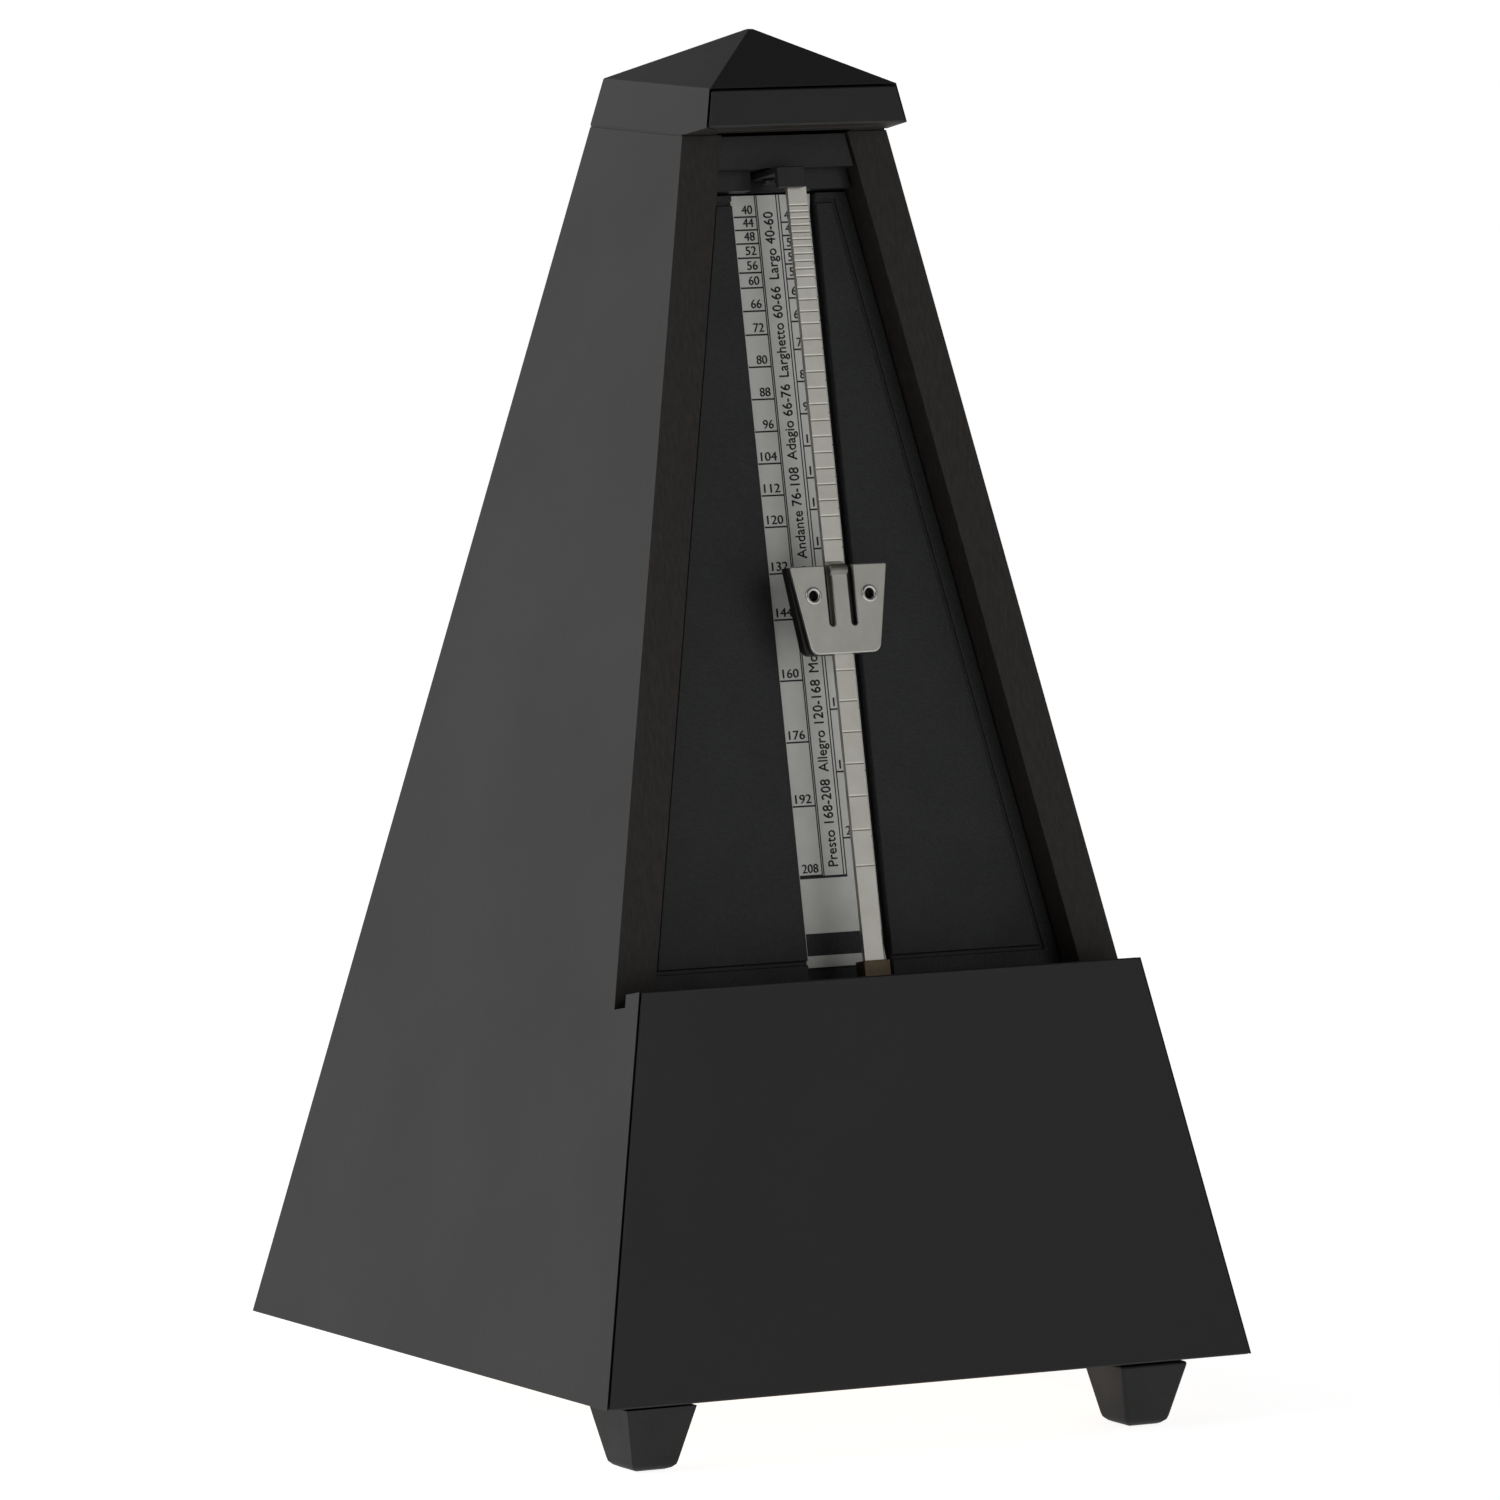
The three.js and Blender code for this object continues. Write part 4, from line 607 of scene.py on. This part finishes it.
# %% [markdown]
# ## The weight that slides on the rod
#
# The weight is a thick steel plate, punched with two slots that leave a springy tongue between them. The
# tongue's rolled end clicks into the rod's notches. Such a plate is easiest as a flat curve: the outline and
# its holes are drawn once, and the curve's own bevel rounds every edge, the slots' as well. Two hollow
# rivets hold the plate to the block behind; each is a profile turned round its axis, as on a lathe.

# %% Weight: placing helpers
def on_body(piece, body, slot, *replaced):
    """Attaches a new piece to the moving body it belongs to and hides the parts that it stands for. The slot
    argument is not used.
    """
    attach(piece, body)
    if replaced:
        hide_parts(*replaced)
    return piece


def face_object(name, mesh, material):
    """An object from a mesh drawn in millimetres across, up and out of the face."""
    mesh.transform(FACE_AXES @ Matrix.Scale(MM, 4))
    mesh.materials.clear()
    mesh.materials.append(material)
    piece = bpy.data.objects.new(name, mesh)
    bpy.context.scene.collection.objects.link(piece)
    return piece


print("placing helpers ready")

# %% Weight: drawing helpers
def round_stretch(across, up, radius, start, end, steps=8):
    """Points on part of a circle, its angles in degrees."""
    angles = [math.radians(start + (end - start) * i / steps) for i in range(steps + 1)]
    return [(across + radius * math.cos(angle), up + radius * math.sin(angle)) for angle in angles]


def punched_plate(outlines, front, thickness, edge_round):
    """A flat plate from closed outlines, the first its rim and the rest its holes, with rounded edges."""
    curve = bpy.data.curves.new("plate", "CURVE")
    curve.dimensions = "2D"
    curve.fill_mode = "BOTH"
    curve.extrude = thickness / 2 - edge_round
    curve.bevel_depth = edge_round
    curve.bevel_resolution = 3
    curve.offset = -edge_round
    for outline in outlines:
        spline = curve.splines.new("POLY")
        spline.points.add(len(outline) - 1)
        for point, (across, up) in zip(spline.points, outline):
            point.co = (across, up, front - thickness / 2, 1)
        spline.use_cyclic_u = True
    drawing = bpy.data.objects.new("plate", curve)
    mesh = bpy.data.meshes.new_from_object(drawing)
    bpy.data.objects.remove(drawing)
    return mesh


def turned_ring(across, up, profile, steps=48):
    """A ring turned about a line square to the face. Its profile lists radius and place out of the face."""
    shape = bmesh.new()
    rows = []
    for i in range(steps):
        angle = 2 * math.pi * i / steps
        along = (math.cos(angle), math.sin(angle))
        rows.append([shape.verts.new((across + r * along[0], up + r * along[1], out)) for r, out in profile])
    for i, row in enumerate(rows):
        following = rows[(i + 1) % steps]
        for j in range(len(profile)):
            k = (j + 1) % len(profile)
            shape.faces.new((row[j], following[j], following[k], row[k]))
    bmesh.ops.recalc_face_normals(shape, faces=shape.faces)
    mesh = bpy.data.meshes.new("ring")
    shape.to_mesh(mesh)
    shape.free()
    mesh.polygons.foreach_set("use_smooth", [True] * len(mesh.polygons))
    return mesh


print("weight helpers ready")

# %% Weight: front plate
PLATE_EDGE = 0.2
TONGUE_WIDTH = 2.9
SLOT_WIDTH = 1.1
SLOT_LENGTH = 9.6
PLATE_FOOT_HALF = 6.1  # half the plate's width at its foot
FOOT_CORNER = 1.6
TOP_CORNER = 0.35
TOP_CORNER_INSET = 0.45  # of the corner's middle from the plate's side
RIM_LEAN = 11  # degrees that the plate's sides lean
RIVET_SPREAD = 5.07
RIVET_DROP = 4.75
RIVET_SEAT = 1.15  # radius of the hole that a rivet sits in
RIVET_HOLE = 0.78  # radius of the rivet's own hollow

plate_across, plate_up, plate_out = face_span("bob_front_plate")
plate_top, plate_foot, plate_front = plate_up[1], plate_up[0], plate_out[1]
plate_thickness = plate_out[1] - plate_out[0]


def half_width_at(up):
    """Half the plate's width at a height, between its foot's and its top's."""
    low, high = PLATE_FOOT_HALF, plate_across[1]
    return low + (high - low) * (up - plate_foot) / (plate_top - plate_foot)


def weight_rim():
    """The plate's rim, round from its left foot to the tongue and back, slots included."""
    right_foot = round_stretch(half_width_at(plate_foot + FOOT_CORNER) - FOOT_CORNER * 0.98,
                               plate_foot + FOOT_CORNER, FOOT_CORNER, -90, -RIM_LEAN)
    top_right = round_stretch(half_width_at(plate_top) - TOP_CORNER_INSET, plate_top - TOP_CORNER,
                              TOP_CORNER, -RIM_LEAN, 90, 4)
    middle = (TONGUE_WIDTH + SLOT_WIDTH) / 2
    slot_end = round_stretch(middle, plate_top - SLOT_LENGTH + SLOT_WIDTH / 2, SLOT_WIDTH / 2, 0, -180)
    right = right_foot + top_right + [(middle + SLOT_WIDTH / 2, plate_top)] + slot_end
    right += [(middle - SLOT_WIDTH / 2, plate_top)]
    return right + [(-across, up) for across, up in reversed(right)]


rivets = [(side * RIVET_SPREAD, plate_top - RIVET_DROP) for side in (-1, 1)]
rivet_seats = [round_stretch(across, up, RIVET_SEAT, 0, 345, 23) for across, up in rivets]
weight_plate = face_object(
    "weight_front_plate",
    punched_plate([weight_rim()] + rivet_seats, plate_front, plate_thickness, PLATE_EDGE),
    weight_steel)
on_body(weight_plate, "sliding_weight", "steel", "bob_front_plate")
print("weight plate", len(weight_plate.data.vertices), "points")

# %% Weight: rolled end of the tongue
ROLL_RADIUS = 1.05
ROLL_BACK = 0.75  # of the roll's axis behind the plate's front
ROLL_DROP = 0.8  # of the roll's axis below the plate's top
ROLL_OVERHANG = 0.12  # past the tongue on each side
ROLL_ENDS = ((0.0, 0.22), (0.08, 0.07), (0.22, 0.0))  # from each end inwards, and how far the radius shrinks


def rolled_end():
    """A half-round bar across the tongue's end, its ends softened."""
    shape = bmesh.new()
    axis_out, axis_up = plate_front - ROLL_BACK, plate_top - ROLL_DROP
    half = TONGUE_WIDTH / 2 + ROLL_OVERHANG
    rows = []
    left_end = [(-half + inwards, inset) for inwards, inset in ROLL_ENDS]
    right_end = [(half - inwards, inset) for inwards, inset in reversed(ROLL_ENDS)]
    for across, inset in left_end + right_end:
        arc = round_stretch(0, 0, ROLL_RADIUS - inset, -85, 90, 14)
        rows.append([shape.verts.new((across, axis_up + up, axis_out + out)) for out, up in arc])
    for row, following in zip(rows, rows[1:]):
        for j in range(len(row)):
            k = (j + 1) % len(row)
            shape.faces.new((row[j], row[k], following[k], following[j]))
    shape.faces.new(list(reversed(rows[0])))
    shape.faces.new(rows[-1])
    bmesh.ops.recalc_face_normals(shape, faces=shape.faces)
    mesh = bpy.data.meshes.new("rolled_end")
    shape.to_mesh(mesh)
    shape.free()
    mesh.polygons.foreach_set("use_smooth", [True] * len(mesh.polygons))
    return mesh


# The rolled end takes the darker steel, which paints its shade.
tongue_end = face_object("weight_tongue_end", rolled_end(), shaded_tongue_steel)
on_body(tongue_end, "sliding_weight", "steel")

print("tongue end made")

# %% Weight: rivets
# Painted shade: a near-black finish for a plug set deep in each rivet's hollow, standing for the shade down
# there. Its faint mottle only breaks up the black.
rivet_painted_shade, shade_tree, shade_shader = finish("rivet_painted_shade", Specular_IOR_Level=0.1)
shade_mottle = remap(shade_tree, noise(shade_tree, in_millimetres(shade_tree), 0.3), 0.3, 0.7)
shade_colour = blend_colours(shade_tree, shade_mottle, (0.004, 0.0035, 0.003), (0.012, 0.010, 0.008))
wire(shade_tree, shade_shader, Base_Color=shade_colour)

RIVET_RIM = [  # radius and place in front of the plate, round the rolled rim and down the hollow stem
    (1.42, 0.0), (1.40, 0.16), (1.30, 0.27), (1.14, 0.32), (0.98, 0.28), (0.86, 0.16), (RIVET_HOLE, -0.05),
    (RIVET_HOLE, -2.6), (1.0, -2.6), (1.0, -0.02),
]
for side, (across, up) in zip(("left", "right"), rivets):
    rim = [(radius, plate_front + out) for radius, out in RIVET_RIM]
    rivet = face_object("weight_rivet_" + side, turned_ring(across, up, rim), bright_steel)
    on_body(rivet, "sliding_weight", "steel", "bob_eyelet_" + side)
    # A black plug inside the hollow stem: painted shade for the rivet's depth.
    plug = [(0.02, -0.6), (RIVET_HOLE - 0.02, -0.6), (RIVET_HOLE - 0.02, -2.4), (0.02, -2.4)]
    shade_plug_mesh = turned_ring(across, up, [(radius, plate_front + out) for radius, out in plug], 24)
    hollow = face_object("weight_rivet_shade_plug_" + side, shade_plug_mesh, rivet_painted_shade)
    on_body(hollow, "sliding_weight", "blued_steel")
print("rivets made")

# %% [markdown]
# ## Printing on the scale
#
# A pendulum with its weight near the top swings slowly, so the numbers climb from 208 at the foot to 40 at
# the top, and their spacing follows the pendulum's own law rather than a ruler. The printing is black ink
# on aluminium. Here it is real, very thin solids, since ink drawn that way stays crisp however near we
# come: bars for the lines, and letters from Blender's own font, pressed narrow and a little bold.

# %% Tempo law
SLOWEST_DROP = 3.4  # from the scale's top to the mark of the slowest tempo
BALANCE = 1.0892  # weight's height that would balance the pendulum, over the slowest mark's
INERTIA = 0.5706  # inertia of the pendulum without its weight, in the same shares
SLOWEST = 40

pivot = Vector(joints["pendulum_swing"]["pos_m"])
pivot_up = (pivot - FACE_FOOT).dot(UP_FACE) / MM
slowest_reach = strip_up[1] - SLOWEST_DROP - pivot_up


def mark_up(tempo):
    """How far up the face a tempo's mark lies."""
    pull = (tempo / SLOWEST) ** 2 * (BALANCE - 1) / (INERTIA + 1)
    share = (math.sqrt(1 - 4 * pull * (pull * INERTIA - BALANCE)) - 1) / (2 * pull)
    return pivot_up + slowest_reach * share


tempos = [*range(40, 60, 2), *range(60, 72, 3), *range(72, 120, 4), *range(120, 144, 6), *range(144, 209, 8)]
print(len(tempos), "tempos, from", round(mark_up(208), 1), "to", round(mark_up(40), 1), "mm up the face")

# %% Ink helpers
INK_THICKNESS = 0.02
INK_SINK = 0.004
CAP_SHARE = 0.7  # height of a capital for a font size of 1
STRIKE_APART = 0.05  # mm that each strike lies to one side
STRIKE_LIFT = 0.002  # mm that keeps the two strikes' faces apart
ink_out = strip_out[1]
ink = bmesh.new()


def ink_bar(across0, across1, up0, up1):
    """A printed bar, as a thin block."""
    low, high = ink_out - INK_SINK, ink_out + INK_THICKNESS
    corners = [ink.verts.new((across, up, out)) for out in (low, high)
               for across, up in ((across0, up0), (across1, up0), (across1, up1), (across0, up1))]
    for face in ((3, 2, 1, 0), (4, 5, 6, 7), (0, 1, 5, 4), (1, 2, 6, 5), (2, 3, 7, 6), (3, 0, 4, 7)):
        ink.faces.new([corners[i] for i in face])


def lettering(words):
    """A line of print one unit high, starting at the origin, with its natural width."""
    text = bpy.data.curves.new("print", "FONT")
    text.body = words
    text.extrude = 0.5
    text.resolution_u = 3
    drawing = bpy.data.objects.new("print", text)
    mesh = bpy.data.meshes.new_from_object(drawing)
    bpy.data.objects.remove(drawing)
    left = min(vertex.co.x for vertex in mesh.vertices)
    width = max(vertex.co.x for vertex in mesh.vertices) - left
    for vertex in mesh.vertices:
        vertex.co.x -= left
    mesh.transform(Matrix.Diagonal((1 / CAP_SHARE, 1 / CAP_SHARE, 1, 1)))
    return mesh, width / CAP_SHARE


def print_mesh(mesh, place):
    """Adds a piece of print to the ink, moved by a matrix, and struck twice to make it bold."""
    middle = ink_out + (INK_THICKNESS - INK_SINK) / 2
    for strike in (-1, 1):
        copy = mesh.copy()
        across, up = strike * STRIKE_APART, strike * STRIKE_APART / 2
        aside = Matrix.Translation((across, up, middle + strike * STRIKE_LIFT))
        copy.transform(aside @ place)
        ink.from_mesh(copy)
        bpy.data.meshes.remove(copy)
    bpy.data.meshes.remove(mesh)


flat_ink = Matrix.Diagonal((1, 1, INK_THICKNESS + INK_SINK, 1))
print("ink helpers ready")

# %% Lines
EDGE = strip_across[1] - 0.5
LINE = 0.19
TICK = 0.26
LEFT_LINES = (-2.9, -2.4)
RIGHT_LINES = (1.0, 1.7)
LINES_FOOT = mark_up(208) - 0.2
BAND_FOOT = 68.5  # up the face, of the solid band below the scale
BAND_TOP = 72.0

for pair in (LEFT_LINES, RIGHT_LINES):
    ink_bar(pair[0], pair[0] + LINE, LINES_FOOT, strip_up[1])
    ink_bar(pair[1] - LINE, pair[1], LINES_FOOT, strip_up[1])
for index, tempo in enumerate(tempos):
    ends = (-EDGE, LEFT_LINES[0]) if index % 2 == 0 else (RIGHT_LINES[1], EDGE)
    ink_bar(*ends, mark_up(tempo) - TICK / 2, mark_up(tempo) + TICK / 2)
ink_bar(-EDGE, RIGHT_LINES[1], LINES_FOOT - TICK, LINES_FOOT + TICK / 2)
ink_bar(-EDGE, EDGE, BAND_FOOT, BAND_TOP)
print("lines printed")

# %% Numbers
NUMBER_HEIGHT = 1.4
DIGIT_STEP = 1.0
NUMBER_RISE = 0.34  # of a number above its mark
LEFT_NUMBERS_END = -3.45
RIGHT_NUMBERS_START = 2.3
NUMBER_GAP = 0.12  # left free after the last digit

for index, tempo in enumerate(tempos):
    digits, natural = lettering(str(tempo))
    width = DIGIT_STEP * len(str(tempo)) - NUMBER_GAP
    start = LEFT_NUMBERS_END - width if index % 2 == 0 else RIGHT_NUMBERS_START
    size = Matrix.Diagonal((width / natural, NUMBER_HEIGHT, 1, 1))
    above = Matrix.Translation((start, mark_up(tempo) + TICK / 2 + NUMBER_RISE, 0))
    print_mesh(digits, above @ size @ flat_ink)
print("numbers printed")

# %% Tempo words
WORD_HEIGHT = 1.75
WORD_GAP = 1.2
WORDS_BASE = 0.2  # across the face, of the line that the turned letters stand on
WORDS_FOOT = mark_up(208) + 1.3
WORDS_TOP = strip_up[1] - 2.7
WORDS = ["Presto 168-208", "Allegro 120-168", "Moderato 108-120", "Andante 76-108", "Adagio 66-76",
         "Larghetto 60-66", "Largo 40-60"]

lines_of_print = [lettering(words) for words in WORDS]
squeeze = (WORDS_TOP - WORDS_FOOT - WORD_GAP * (len(WORDS) - 1)) / sum(width for _, width in lines_of_print)
start = WORDS_FOOT
for letters, width in lines_of_print:
    size = Matrix.Diagonal((squeeze, WORD_HEIGHT, 1, 1))
    turned = Matrix.Rotation(math.radians(90), 4, "Z")
    print_mesh(letters, Matrix.Translation((WORDS_BASE, start, 0)) @ turned @ size @ flat_ink)
    start += width * squeeze + WORD_GAP
print("words printed")

# %% Printing as one piece
printing_mesh = bpy.data.meshes.new("printing")
ink.to_mesh(printing_mesh)
ink.free()
INK_FULL = (0.010, 0.010, 0.010)
INK_THIN = (0.030, 0.030, 0.029)
printers_ink, ink_tree, ink_shader = finish("printers_ink", Roughness=0.55)
coverage = remap(ink_tree, noise(ink_tree, in_millimetres(ink_tree), 0.5, 3), 0.5, 0.75)
wire(ink_tree, ink_shader, Base_Color=blend_colours(ink_tree, coverage, INK_FULL, INK_THIN))
printing = face_object("scale_printing", printing_mesh, printers_ink)
on_body(printing, "case", "black_plastic")
print("printing", len(printing_mesh.vertices), "points")

# %% [markdown]
# ## The line under the cap
#
# The cap is glued to the side and back panels. Filler and lacquer close that joint almost flush, so all
# that shows is a faint groove. A thin U of lacquer, set a hair back from the surface, fills the gap.

# %% Glue line
SEAM_FOOT = 0.01 * MM  # above the panels' tops
SEAM_TOP = 0.29 * MM
SEAM_SET_BACK = 0.14 * MM
SEAM_INSIDE = 6.5 * MM
SEAM_FRONT_GAP = 0.4 * MM
panel_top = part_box("left_side_panel")[1].z


def top_corners(name):
    """The corners along a panel's top edge."""
    return [vertex.co for vertex in nodes[name].data.vertices if vertex.co.z > panel_top - 0.02 * MM]


seam_left = min(corner.x for corner in top_corners("left_side_panel"))
seam_front = min(corner.y for corner in top_corners("left_side_panel"))
seam_back = max(corner.y for corner in top_corners("back_panel"))


def glue_line():
    """A U-shaped strip between the panels' tops and the cap, open towards the window."""
    low, high = panel_top + SEAM_FOOT, panel_top + SEAM_TOP
    middle = FACE_FOOT.x
    outer = middle - seam_left - SEAM_SET_BACK
    inner = middle - seam_left - SEAM_INSIDE
    front, back = seam_front + SEAM_FRONT_GAP, seam_back - SEAM_SET_BACK
    half = [(inner, front), (outer, front), (outer, back)]
    plan = [(middle + x, y) for x, y in half] + [(middle - x, y) for x, y in reversed(half)]
    plan += [(middle - inner, seam_back - SEAM_INSIDE), (middle + inner, seam_back - SEAM_INSIDE)]
    shape = bmesh.new()
    rings = [[shape.verts.new((x, y, z)) for x, y in plan] for z in (low, high)]
    for i in range(len(plan)):
        k = (i + 1) % len(plan)
        shape.faces.new((rings[0][i], rings[0][k], rings[1][k], rings[1][i]))
    shape.faces.new(list(reversed(rings[0])))
    shape.faces.new(rings[1])
    bmesh.ops.recalc_face_normals(shape, faces=shape.faces)
    mesh = bpy.data.meshes.new("glue_line")
    shape.to_mesh(mesh)
    shape.free()
    return mesh


seam = bpy.data.objects.new("cap_glue_line", glue_line())
bpy.context.scene.collection.objects.link(seam)
seam.data.materials.append(back_lacquer)
on_body(seam, "case", "black_lacquer")
print("glue line made")

# %% [markdown]
# ## The clockwork and the key
#
# The wheels, plates and springs are already modelled, and the closed case hides nearly all of them. They
# need only their metals and a small rounding, which also shows on the key that stands out of the side.

# %% Clockwork
dress("movement_plate_left movement_plate_right front_cock rear_cock", brass, 0.15)
dress("barrel_drum barrel_cover second_wheel crown_wheel escape_bush", brass, 0.06, segments=2)
dress("pillar_front_low pillar_front_high pillar_rear_low pillar_rear_high", brass, 0.2)
dress("winding_arbor second_arbor escape_arbor ratchet_wheel click", bright_steel, 0.08, segments=2)
dress("movement_screw_left movement_screw_right click_screw click_spring_screw", bright_steel, 0.1)
dress("mainspring click_spring", blued_steel, 0.03, segments=1)
dress("winding_key key_ring", brass, 0.35)
print("clockwork dressed")

# %% [markdown]
# ## Parts without a finish
#
# We look for any part that was left without a finish.

for node in nodes.values():
    if not node.data.materials:
        print("no finish on", node.name)
